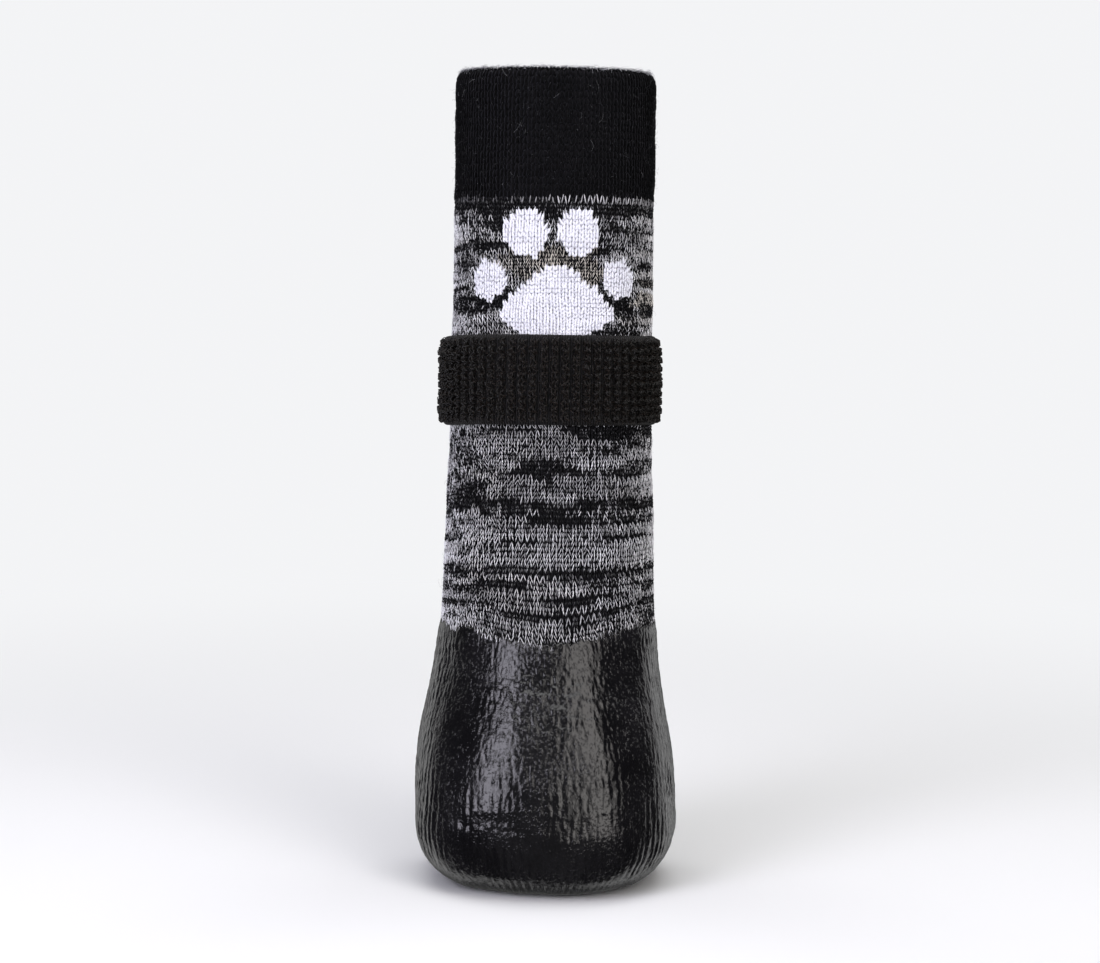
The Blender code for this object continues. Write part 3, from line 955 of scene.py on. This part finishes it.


# The purl side of the knit, on a map counted in stitches: ridges along the rows that wave once per stitch,
# with painted shade in the troughs between them
def makePurlGroup():
    outputs = {"Shade": "Float", "Height": "Float"}
    group, given, result = newGroup("purlLoops", {"Wave": 0.2, "Darkest": 0.3}, outputs)
    spot = put(group, "SeparateXYZ", {0: put(group, "UVMap", uv_map="courses")}).outputs
    wave = reckon(group, "COSINE", reckon(group, "MULTIPLY", spot["X"], fullTurn))
    turns = reckon(group, "MULTIPLY", reckon(group, "MULTIPLY_ADD", wave, given["Wave"], spot["Y"]), math.pi)
    height = reckon(group, "ABSOLUTE", reckon(group, "SINE", turns))
    shade = remap(group, height, 0.0, 0.9, given["Darkest"], 1.0)
    feed(group, result, {"Shade": shade, "Height": height})
    return group


# Rows from the middle of the foot's lining up the inside, over the cuff and down the outside, with the
# row of knitting that each lies at
def makeWall():
    angles = roundAngles(wall["columns"])
    hem = knit["cuffHeight"]
    ball = sock["ballHeight"]
    ankle = sock["ankleHeight"]
    step = ankle - wall["stepLength"]
    lining = wall["footLining"]
    covered = wall["footCovered"]
    yarnNames = ("insideYarn", "insideLight", "ground", "pawGround")
    inside, light, ground, pawGround = (np.array(wall[name]) for name in yarnNames)
    fine = np.linspace(0, sock["collarHeight"], 400)
    courseCount = np.cumsum(np.gradient(fine) / rowPitch(fine))
    rows, tones, courses = [], [], []

    def addRow(points, colour, course):
        rows.append(points)
        tones.append(np.broadcast_to(colour, points.shape))
        courses.append(course)

    def addRing(height, proud, turn, colour):
        course = np.interp(height, fine, courseCount) - turn * 12
        addRow(skin(height, angles, proud, turn), colour, course)

    underFoot = skin(ball, angles, lining, math.pi / 2)
    for share in (0.02, 0.3, 0.6, 0.85):
        addRow(mix(underFoot.mean(0), underFoot, share), inside, -10 + 6 * share)
    for turn in np.radians((90, 75, 60, 45, 30, 15)):
        addRing(ball, lining, turn, inside)
    for height in np.linspace(ball, step, wall["rowsLining"]):
        addRing(height, lining, 0.0, inside)
    rng = np.random.default_rng(wall["seed"])
    insideHeights = np.linspace(ankle, hem - 1.6, wall["rowsIn"])
    fleck = streakNoise((len(insideHeights), len(angles)), 6, 1, rng)
    for height, spots in zip(insideHeights, fleck):
        addRing(height, -knit["wall"], 0.0, mix(inside, light, smoothStep(spots - 0.4)[:, None]))
    foldEnd = sock["cuffLength"] + cuff["wall"] + cuff["insideLength"] + 12
    for distance in np.linspace(foldEnd, 0, wall["rowsFold"]):
        if cuffPath(distance)[0] >= hem - 1e-6:
            addRow(cuffSkin(distance, angles, -0.1), inside * 0.6, 200 - distance / cuff["rowPitch"])
    for height in np.linspace(hem - 0.8, ankle - 0.5, wall["rowsOut"]):
        white = inPaw(height, acrossFront(height, angles))
        proud = wall["pawRaised"] * white - knit["groundDepth"]
        addRing(height, proud, 0.0, np.where(white[:, None], pawGround, ground))
    for height in np.linspace(step, ball, wall["rowsCovered"]):
        addRing(height, covered, 0.0, ground)
    for turn in np.radians((15, 30, 45, 60, 75, 90)):
        addRing(ball, covered, turn, ground)
    item = shellPiece("knit_wall", np.array(rows), np.array(tones), np.array(courses))
    addPattern("knitGround", makePurlGroup(), {"Wave": 0.22, "Darkest": 0.25}, 0.0003)
    place(item, "knitGround", "heather_knit", "knit_sock")


makeWall()

# The foot dipped in rubber
boot = {
    "columns": 600,
    "rowsSide": 100,
    "rowsEdge": 38,
    "rowsSole": 6,
    "rows": 36,  # rows of knit under the side of the rubber
    "rim": 0.36,  # how proud the thin edge stands
    "rimLength": 2.2,
    # how high each relief stands, and its share where the knit below is hidden and where it shows through
    "knit": (0.035, 0.55, 1.2),
    "pebbles": (0.036, 1.15, 0.8),
    "wrinkles": (0.035, 1.2, 0.3),  # short creases across the ribs
    "ribs": (0.090, 1.3, 0.4),
    "swells": 0.20,
    "ribWander": 0.10,  # how far a rib strays from its wale, in wales
    "toeWorn": 0.6,
    "edgeHangs": 0.30,  # the edge hangs a little at each wale, and wanders
    "edgeWanders": 0.22,
    "edgeRows": 6,
    "sunk": 0.02,
    "rubber": (0.0032, 0.0030, 0.0038),
    "dulled": (0.008, 0.0075, 0.009),
    "seed": 41,
}


# The knit under the rubber: a soft slanting bump for each leg of a stitch.
# wale counts stitches round the foot, row counts them down it.
def knitUnderRubber(wale, row):
    across = wale - np.floor(wale) - 0.5
    down = row - np.floor(row)
    return np.exp(-(((np.abs(across) - 0.13 - 0.22 * down) / 0.15) ** 2)) * np.sin(math.pi * down)


# Rows up a smooth inside, over the rim and down the outside, whose relief is the knit under the rubber,
# pebbles, wrinkles, ribs and slow swells
def makeBoot():
    rng = np.random.default_rng(boot["seed"])
    creases = np.random.default_rng(boot["seed"] + 1)
    ankle = sock["ankleHeight"]
    ball = sock["ballHeight"]
    angles = roundAngles(boot["columns"])
    rowCount = boot["rowsSide"] + boot["rowsEdge"]
    shape = (rowCount, boot["columns"])
    pebbles = streakNoise(shape, 0.6, 1.0, rng)
    patches = streakNoise(shape, 9, 7, rng)
    swells = streakNoise(shape, 13, 15, rng)
    wrinkles = streakNoise(shape, 5, 0.7, creases)
    stray = boot["ribWander"] * streakNoise(shape, 1.5, 3.0, creases)
    height = np.concatenate((np.linspace(ankle, ball, boot["rowsSide"]), np.full(boot["rowsEdge"], ball)))
    height = height[:, None]
    turn = np.linspace(0, math.pi / 2, boot["rowsEdge"] + 1)[1:]
    turn = np.concatenate((np.zeros(boot["rowsSide"]), turn))[:, None]
    down = np.arange(rowCount)[:, None] / rowCount
    wale = angles * knit["wales"] / fullTurn
    row = np.arange(rowCount)[:, None] * boot["rows"] / boot["rowsSide"]
    base = mix(boot["rim"], sock["rubberProud"], smoothStep((ankle - height) / boot["rimLength"]))
    base = mix(base, sock["soleWall"] - sock["rubberWall"] + sock["rubberProud"], np.sin(turn))
    flat = smoothStep((math.pi / 2 - turn) / math.radians(22))  # nothing stands out where it meets the floor
    toeTip = smoothStep((down - 0.5) / 0.3) * ((1 - np.sin(angles)) / 2) ** 2
    worn = mix(1.0, boot["toeWorn"], toeTip)
    shows = smoothStep(0.5 + 0.45 * patches)

    def layer(name, pattern):
        high, hidden, shown = boot[name]
        return high * pattern * mix(hidden, shown, shows)

    ribs = smoothStep((down - 0.35) / 0.3) + 1.3 * np.cos(angles) ** 6
    rib = 0.5 + 0.5 * np.cos(fullTurn * (wale + stray))
    relief = (
        layer("knit", knitUnderRubber(wale, row)) * worn
        + layer("pebbles", pebbles) * worn
        + layer("wrinkles", wrinkles) * worn
        - layer("ribs", ribs * rib)
        + boot["swells"] * swells
    )
    wander = boot["edgeWanders"] * streakNoise((1, len(angles)), 2.5, 0, rng)[0]
    ragged = boot["edgeHangs"] * np.cos(fullTurn * wale) + wander
    height = height + ragged * np.clip(1 - down * rowCount / boot["edgeRows"], 0, 1)
    outside = skin(height, angles, base + (relief - boot["sunk"]) * flat, turn)
    shares = np.linspace(1, 0, boot["rowsSole"] + 1)[1:-1]
    under = [mix(outside[-1].mean(0), outside[-1], share) for share in shares]
    proud = sock["rubberProud"] - sock["rubberWall"]
    inside = [skin(ball, angles, proud, value) for value in np.radians((90, 60, 30))]
    inside += [skin(value, angles, proud) for value in (ball, 30.0, 44.0, 53.8)]
    inside += [skin(ankle - 0.6, angles, -0.15), skin(ankle + ragged, angles, -0.1)]
    item = shellPiece("rubber_foot", np.array((*inside, *outside, *under)))
    makeRubber()
    place(item, "dippedRubber", "dipped_rubber", "rubber_boot")


# Glossy black rubber: nearly smooth, with pimples that have steep sides, and patches of duller gloss
def makeRubber():
    tree, shader = newMaterial("dippedRubber")
    lie = put(tree, "TexCoord").outputs["Object"]
    pebble = put(tree, "TexNoise", {"Vector": lie, "Scale": 1500.0, "Detail": 1.2, "Roughness": 0.5})
    patch = put(tree, "TexNoise", {"Vector": lie, "Scale": 110.0, "Detail": 4.0, "Roughness": 0.6})
    pimple = remap(tree, pebble, 0.52, 0.76, interpolation_type="SMOOTHSTEP")
    grainy = remap(tree, patch, 0.36, 0.64, 0.3, 1.0)
    raised = reckon(tree, "MULTIPLY_ADD", pebble, 0.8, pimple)
    bump = put(tree, "Bump", {"Height": raised, "Strength": grainy, "Distance": 0.0001})
    colours = {"Factor": remap(tree, patch, 0.4, 0.8), "A": (*boot["rubber"], 1), "B": (*boot["dulled"], 1)}
    colour = put(tree, "Mix", colours, data_type="RGBA").outputs["Result"]
    rough = remap(tree, patch, 0.3, 0.7, 0.10, 0.18)
    feed(tree, shader, {"Base Color": colour, "Roughness": rough, "Normal": bump})
    feed(tree, shader, {"Coat Weight": 0.2, "Coat Roughness": 0.12, "Specular IOR Level": 0.40})


makeBoot()

# The hook-and-loop strap
strap = {
    "width": 20.0,
    "middle": 110.7,
    "gap": 0.3,
    "thickness": 2.3,
    "edgeThickness": 1.0,
    "groundThickness": 0.75,
    "ribs": 236,
    "endGap": 2.4,
    "bulge": 0.7,  # the strap stands off the leg a little on its left side
    "pileRows": 10,
    "pileEdge": 1.6,
    "pilePitch": 1.30,
    "pileRadius": legRadius + 1.5,
    "pileBare": 0.70,  # how much lower than the strap's face the loops' threads turn back
    "edgeLower": 0.22,  # the loops along both edges are lower
    "tuftLean": 0.24,  # tufts lean together in pairs
    "loopsPerTuft": 3,
    "loopSplay": 0.7,
    "loopWidth": 1.25,
    "loopWidens": 0.35,
    "loopThread": 0.13,
    "tabLength": 32.0,
    "tabThickness": 1.2,
    "tabPresses": 0.7,
    "seed": 67,
}
halfEndGap = strap["endGap"] / sock["ankleWidth"]
halfTab = strap["tabLength"] / sock["ankleWidth"]


# A point of the strap: across it from the lower edge, round the leg, and proud of the sock
def strapSkin(across, angle, proud):
    height = strap["middle"] + (across - strap["width"] / 2) * math.cos(sock["legLean"])
    return skin(height, angle, proud + strap["bulge"] * smoothStep(-np.cos(angle) * 1.5 - 0.4))


# A closed outline of points carried along a path, with a point over the middle of each end. It starts with
# the face, from under its lower edge to under its upper one, with both edges rounded over.
# The relief, which takes the distances across and angles, is given to the face alone.
def makeTape(name, start, end, steps, inner, outer, edge, samples, relief):
    angles = np.linspace(start, end, steps)[:, None]
    width = strap["width"]
    turn = np.linspace(0, math.pi / 2, 5)[:-1]
    rounded = edge * (1 - np.cos(turn))
    rise = inner + (outer - inner) * np.sin(turn)
    middle = np.linspace(edge, width - edge, samples)
    across = np.concatenate((rounded, middle, width - rounded[::-1], (width * 0.66, width * 0.33)))
    proud = np.concatenate((rise, 0 * middle + outer, rise[::-1], (inner, inner)))
    onFace = proud > outer - 0.01
    proud = proud + onFace * relief(across, angles, np.minimum(across, width - across))
    return shellPiece(name, strapSkin(across, angles, proud))


# Narrow cords that run across a tape, on the way of the map that goes along it, with painted shade between
# them
def makeCordGroup():
    outputs = {"Shade": "Float", "Height": "Float"}
    group, given, result = newGroup("tapeCords", {"Count": 400.0, "Darkest": 0.4}, outputs)
    spot = put(group, "SeparateXYZ", {0: put(group, "UVMap", uv_map="OFBake")}).outputs
    turns = reckon(group, "MULTIPLY", reckon(group, "MULTIPLY", spot["Y"], given["Count"]), fullTurn)
    wave = reckon(group, "SINE", turns)
    feed(group, result, {"Shade": remap(group, wave, -1.0, 0.6, given["Darkest"], 1.0), "Height": wave})
    return group


cordGroup = makeCordGroup()


# The strap's woven ground, sunk between its bound edges
def makeStrapTape():
    def relief(across, angles, nearEdge):
        sunk = (strap["groundThickness"] - strap["edgeThickness"]) * smoothStep((nearEdge - 1.5) / 0.8)
        return sunk + 0.05 * np.cos(angles * 23) + 0.04 * np.cos(angles * 61 + 1)

    ends = (rear + halfEndGap, rear + fullTurn - halfEndGap)
    outer = strap["gap"] + strap["edgeThickness"]
    item = makeTape("strap_tape", *ends, 500, strap["gap"], outer, 1.1, 18, relief)
    addPattern("tapeWeave", cordGroup, {"Count": strap["ribs"], "Darkest": 0.0}, 0.00025)
    place(item, "tapeWeave", "loop_pile", "strap")


# How far the tab presses the pile down: all of it behind the leg, none in front
def pressed(angle):
    offBack = np.abs((angle - rear + math.pi) % fullTurn - math.pi)
    return strap["tabPresses"] * np.clip((halfTab * 1.25 - offBack) / (halfTab * 0.2), 0, 1)


# Pile loops: each is an arch of thread that widens upwards, standing on the tape and turned its own way
def makePile():
    rng = np.random.default_rng(strap["seed"])
    radius = strap["pileRadius"]
    length = fullTurn - 2 * halfEndGap
    columns = int(length * radius / strap["pilePitch"])
    angle = rear + halfEndGap + (np.arange(columns) + 0.5) * length / columns
    across = np.linspace(strap["pileEdge"], strap["width"] - strap["pileEdge"], strap["pileRows"])
    shape = (strap["pileRows"], columns, strap["loopsPerTuft"])
    pitch = across[1] - across[0]
    stagger = np.array((-0.2, 0.0, 0.2)) * pitch + rng.normal(0, 0.05, (columns, 1)) * pitch
    middleAcross = across[:, None, None] + stagger + rng.normal(0, 0.07, shape)
    paired = np.where(np.arange(columns) % 2 == 0, strap["tuftLean"], -strap["tuftLean"])[:, None]
    middleRound = angle[:, None] * radius + paired + rng.normal(0, 0.09, shape)
    turn = math.pi / 2 + rng.normal(0, 0.3, shape) + np.array((strap["loopSplay"], 0.0, -strap["loopSplay"]))
    tilt = rng.normal(0, 0.2, shape)
    low = np.ones((strap["pileRows"], 1, 1))
    low[[0, -1]] = 1 - strap["edgeLower"]
    tall = (strap["thickness"] - strap["pileBare"]) * rng.uniform(0.84, 1.08, shape) * low
    wide = strap["loopWidth"] / 2 * rng.uniform(0.8, 1.2, shape)
    values = (middleAcross, middleRound, turn, tilt, tall, wide)
    middleAcross, middleRound, turn, tilt, tall, wide = (value.reshape(-1, 1, 1) for value in values)
    tall = tall - pressed(middleRound / radius)
    arch = np.radians((-8, 32, 71, 109, 148, 188))[:, None]
    side = -roundAngles(3)
    # the thread's own roundness: outwards in the loop's plane, and across it
    thread = strap["loopThread"]
    widening = 1 + strap["loopWidens"] * np.sin(arch)
    alongLoop = wide * np.cos(arch) * widening + thread * np.cos(side) * np.cos(arch)
    up = tall * np.sin(arch) + thread * np.cos(side) * np.sin(arch)
    off = thread * np.sin(side) + up * np.sin(tilt)
    goAcross = alongLoop * np.sin(turn) + off * np.cos(turn)
    goRound = alongLoop * np.cos(turn) - off * np.sin(turn)
    base = strap["gap"] + strap["groundThickness"] - 0.1
    points = strapSkin(middleAcross + goAcross, (middleRound + goRound) / radius, base + up * np.cos(tilt))
    place(tubesPiece("strap_pile", tipped(points), len(arch), len(side)), "loopNylon", "loop_pile")


makeStrapTape()
makePile()

# The hook tab behind the leg; lengths along it are measured at its radius
tab = {
    "inner": strap["gap"] + strap["thickness"] - strap["tabPresses"] + strap["gap"],
    "radius": legRadius + 3,
    "edge": 0.5,
    "cords": 58,
    "seamInset": 2.2,
    "seamLength": 13,
    "stitchLength": 1.9,
    "thread": 0.2,
    "twill": 0.03,
    "bead": 0.10,
    "endSoft": 0.25,
}


# The tab's tape: fine twill, a bead along both edges and softened ends
def makeTab():
    def relief(across, angles, nearEdge):
        twill = np.cos(fullTurn * (across * 1.0 + angles * tab["radius"] * 0.5) / 1.05)
        bead = np.exp(-(((nearEdge - 0.9) / 0.5) ** 2))
        nearEnd = np.minimum(angles - (rear - halfTab), rear + halfTab - angles) * tab["radius"]
        soft = tab["endSoft"] * (1 - smoothStep(nearEnd / 0.8))
        return tab["twill"] * twill + tab["bead"] * bead - soft

    outer = tab["inner"] + strap["tabThickness"] - 0.1
    ends = (rear - halfTab, rear + halfTab)
    item = makeTape("tab_tape", *ends, 230, tab["inner"], outer, tab["edge"], 76, relief)
    addPattern("tabWeave", cordGroup, {"Count": tab["cords"], "Darkest": 0.15}, 0.00020)
    place(item, "tabWeave", "hook_tape", "strap_tab")


# A row of sewn stitches round the end of the tab that stays fixed, with one diagonal
def makeTabSeam():
    radius = tab["radius"]
    low = tab["seamInset"]
    high = strap["width"] - low
    left = low - strap["tabLength"] / 2 * radius / legRadius
    right = left + tab["seamLength"]
    box = np.array(((left, low), (right, low), (right, high), (left, high), (left, low), (right, high)))
    starts, ends = [], []
    for corner, following in zip(box, box[1:]):
        count = max(2, round(math.dist(corner, following) / tab["stitchLength"]))
        share = np.arange(count)[:, None] / count
        gap = 0.22 / count
        starts.append(mix(corner, following, share + gap))
        ends.append(mix(corner, following, share + 1 / count - gap))
    starts, ends = np.concatenate(starts), np.concatenate(ends)
    along = np.array((0.0, *(0.22,) * 4, *(0.78,) * 4, 1.0))
    outward = np.array((0, 1, 0, -1, 0, 1, 0, -1, 0, 0.0)) * tab["thread"]
    sideways = np.array((0, 0, 1, 0, -1, 0, 1, 0, -1, 0.0)) * tab["thread"]
    run = ends - starts
    normal = np.stack((-run[:, 1], run[:, 0]), -1) / np.linalg.norm(run, axis=1)[:, None]
    spot = starts[:, None] + run[:, None] * along[:, None] + normal[:, None] * sideways[:, None]
    face = tab["inner"] + strap["tabThickness"] - 0.05
    bow = 0.10 * (1 - (2 * along - 1) ** 2)
    points = strapSkin(spot[..., 1], rear + spot[..., 0] / radius, face + outward + bow)
    place(tubesPiece("tab_sewing", points, 2, 4), "sewingThread", "hook_tape")


makeTab()
makeTabSeam()

# Loose fibres. For each kind: how many, the shape and scale of their lengths, the least and most that they
# stand off, thread, rings, tone, and the least and most of that tone
fuzz = {
    "nap": (900, (4, 0.16), (0.3, 0.9), 0.022, 3, (0.05, 0.05, 0.056), (0.6, 1.4)),
    # the rim hairs' pale tone is partly pale lint and partly a painted highlight of black fibres lit from
    # behind
    "rim": (2900, (3, 0.24), (0.10, 0.5), 0.036, 3, (0.42, 0.42, 0.455), (0.4, 1.3)),
    "cuff": (90, (3, 0.45), (0.02, 0.25), 0.024, 4, (0.30, 0.30, 0.32), (0.4, 1.2)),
    "leg": (330, (3, 0.35), (0.05, 0.5), 0.022, 4, (0.30, 0.30, 0.32), (0.2, 0.9)),
    "pieces": {"cuff_nap": ("nap",), "rim_fibres": ("rim",), "loose_fibres": ("cuff", "leg")},
    "seed": 97,
}


# Thin curved hairs, all given as arrays: each starts on the surface, runs sideways and bends away from it
def hairPoints(distance, angle, direction, length, stand, thread, surface, rings, rng):
    share = np.linspace(0, 1, rings)[:, None]
    side = roundAngles(3)
    values = (distance, angle, direction, length, stand)
    distance, angle, direction, length, stand = (value[:, None, None] for value in values)
    heading = direction + rng.normal(0, 0.9, distance.shape) * share
    taper = thread * (1 - 0.6 * share)
    # the hair's corners stand round its own direction
    up = length * share * np.cos(heading) - taper * np.cos(side) * np.sin(heading)
    sideways = length * share * np.sin(heading) + taper * np.cos(side) * np.cos(heading)
    off = 0.2 + stand * length * np.sin(math.pi * 0.6 * share) + taper * np.sin(side)
    return tipped(surface(distance + up, angle + sideways / legRadius, off))


# Nap all over the cuff, a brush of pale hairs that lie along its rim, and lint on the cuff and the leg
# The rim hairs' paleness is partly pale lint and partly a painted highlight of black fibres lit from behind
def makeFuzz():
    rng = np.random.default_rng(fuzz["seed"])
    rim = sock["cuffLength"]

    def startHairs(kind, count):
        if kind == "nap":
            return rng.uniform(0, rim + 2, count)
        if kind == "rim":
            return rim + rng.normal(0.7, 0.65, count)
        if kind == "cuff":
            return rng.uniform(0, rim - 2, count)
        return np.where(rng.random(count) < 0.35, rng.uniform(121, 149, count), rng.uniform(58, 100, count))

    def strew(kind):
        count, lengths, stands, thread, rings, tone, tones = fuzz[kind]
        start = startHairs(kind, count)
        angle = rng.uniform(0, fullTurn, count)
        if kind == "rim":
            direction = rng.choice((-1, 1), count) * (math.pi / 2 + rng.normal(0, 0.5, count))
        else:
            direction = rng.uniform(0, fullTurn, count)
        length = rng.gamma(*lengths, count)
        stand = rng.uniform(*stands, count)
        surface = skin if kind == "leg" else cuffSkin
        points = hairPoints(start, angle, direction, length, stand, thread, surface, rings, rng)
        tone = np.array(tone) * rng.uniform(*tones, (count, 1, 1))
        return points, np.broadcast_to(tone, points.shape)

    for name, kinds in fuzz["pieces"].items():
        points, tones = (np.concatenate(values) for values in zip(*map(strew, kinds)))
        place(tubesPiece(name, points, fuzz[kinds[0]][4], 3, tones), "lint", "heather_knit")


makeFuzz()

# Floor, room and lamps
studio = {
    "backdrop": (0.90, 0.905, 0.92, 1),
    "floor": (0.84, 0.845, 0.86, 1),
    "floorRings": (0.0005, 0.3, 0.8, 1.6, 3.0, 6.0, 9.0),
    "floorDepth": 0.02,
    "floorFade": (0.10, 0.42),
    # how far a direction turns from straight behind, 0, to the front, 1, and the room's brightness there
    "room": (
        (0.0, 0.10),
        (0.10, 0.14),
        (0.18, 0.75),
        (0.29, 0.75),
        (0.36, 0.06),
        (0.50, 0.03),
        (0.72, 0.03),
        (0.92, 0.12),
    ),
    # name, azimuth, elevation, distance, width, height, power, colour
    "lights": (
        ("keyWide", -40, 20, 0.94, 0.62, 0.9, 1.9, (0.90, 0.88, 1.0)),
        ("keyMiddle", -39, 20, 0.90, 0.46, 0.9, 3.2, (0.90, 0.88, 1.0)),
        ("keyCore", -40, 20, 0.86, 0.20, 0.9, 1.3, (0.90, 0.88, 1.0)),
        ("fillWide", 34, 22, 0.98, 0.76, 1.2, 3.3, (1.0, 0.96, 0.93)),
        ("fillCore", 34, 22, 0.92, 0.34, 1.2, 2.4, (1.0, 0.96, 0.93)),
        ("overhead", 0, 86, 1.6, 1.5, 1.5, 20.0, (1.0, 1.0, 1.0)),
    ),
    "aim": (0.0, 0.0, 0.09),
}


# A plain round floor that turns into the pale backdrop further out
def makeFloor():
    rings = np.array(studio["floorRings"])[:, None]
    turns = roundAngles(96)
    top = np.stack((rings * np.cos(turns), rings * np.sin(turns), 0 * rings + 0 * turns), -1)
    item = shellPiece("floor", np.concatenate((top, (top - (0, 0, studio["floorDepth"]))[::-1])))
    tree, shader = newMaterial("paleFloor")
    feed(tree, shader, {"Base Color": studio["floor"], "Roughness": 0.85})
    glow = put(tree, "Emission", {"Color": studio["backdrop"], "Strength": 1.0})
    lie = put(tree, "TexCoord").outputs["Object"]
    away = put(tree, "VectorMath", {0: lie}, operation="LENGTH").outputs["Value"]
    fade = remap(tree, away, *studio["floorFade"], interpolation_type="SMOOTHSTEP")
    blend = put(tree, "MixShader", {0: fade, 1: shader, 2: glow})
    feed(tree, tree.nodes["Material Output"], {"Surface": blend})
    item.data.materials.append(bpy.data.materials["paleFloor"])
    item.visible_glossy = False  # the rubber mirrors the dim room, not the pale floor


# A dim room with a bright soft panel to each side behind the sock; the eye sees a pale one all round
def makeWorld():
    world = bpy.data.worlds.new("studioRoom")
    bpy.context.scene.world = world
    world.use_nodes = True
    tree = world.node_tree
    tree.nodes.clear()
    way = put(tree, "SeparateXYZ", {0: put(tree, "TexCoord").outputs["Generated"]}).outputs
    turned = reckon(tree, "ARCTAN2", reckon(tree, "ABSOLUTE", way["X"]), way["Y"])
    ramp = put(tree, "ValToRGB", {0: reckon(tree, "DIVIDE", turned, math.pi)})
    stops = ramp.color_ramp.elements
    while len(stops) < len(studio["room"]):
        stops.new(0.5)
    for stop, (share, brightness) in zip(stops, studio["room"]):
        stop.position = share
        stop.color = (brightness, brightness, brightness, 1)
    room = put(tree, "Background", {"Color": ramp, "Strength": 1.0})
    seen = put(tree, "Background", {"Color": studio["backdrop"], "Strength": 1.0})
    toEye = put(tree, "LightPath").outputs["Is Camera Ray"]
    put(tree, "OutputWorld", {"Surface": put(tree, "MixShader", {0: toEye, 1: room, 2: seen})})


# A point at this azimuth, elevation and distance from a target; azimuth 0 is before the toe
def around(target, azimuth, elevation, distance):
    turn = math.radians(azimuth)
    rise = math.radians(elevation)
    away = Vector((math.sin(turn) * math.cos(rise), -math.cos(turn) * math.cos(rise), math.sin(rise)))
    return Vector(target) + away * distance


# Soft panels that face the sock and don't show themselves
def makeLights():
    for name, azimuth, elevation, distance, width, height, power, colour in studio["lights"]:
        data = bpy.data.lights.new(name, "AREA")
        data.shape = "RECTANGLE"
        data.size = width
        data.size_y = height
        data.energy = power
        data.color = colour
        lamp = bpy.data.objects.new(name, data)
        bpy.context.scene.collection.objects.link(lamp)
        lamp.location = around(studio["aim"], azimuth, elevation, distance)
        lamp.visible_camera = False
        lamp.rotation_euler = (Vector(studio["aim"]) - lamp.location).to_track_quat("-Z", "Y").to_euler()


# The camera stands before the toe, a little above it, and is turned about its own axis by the roll
camera = {
    "target": (0.0, 0.0, 0.1094),
    "elevation": 6.1,
    "distance": 0.9,
    "aimHeight": 0.0886,
    "roll": -0.9,
    "frameWidth": 0.2462,  # what the picture's width shows at the target
    "clip": (0.05, 60),
}


def makeCamera():
    data = bpy.data.cameras.new("camera")
    data.sensor_width = 36.0
    data.lens = data.sensor_width * camera["distance"] / camera["frameWidth"]
    data.clip_start, data.clip_end = camera["clip"]
    item = bpy.data.objects.new("camera", data)
    bpy.context.scene.collection.objects.link(item)
    item.location = around(camera["target"], 0, camera["elevation"], camera["distance"])
    look = (Vector((0, 0, camera["aimHeight"])) - item.location).to_track_quat("-Z", "Y")
    roll = Matrix.Rotation(math.radians(-camera["roll"]), 3, "Z")
    item.rotation_mode = "QUATERNION"
    item.rotation_quaternion = (look.to_matrix() @ roll).to_quaternion()
    bpy.context.scene.camera = item


makeFloor()
makeWorld()
makeLights()
makeCamera()
bpy.context.scene.view_settings.view_transform = "Standard"
print("studio ready")
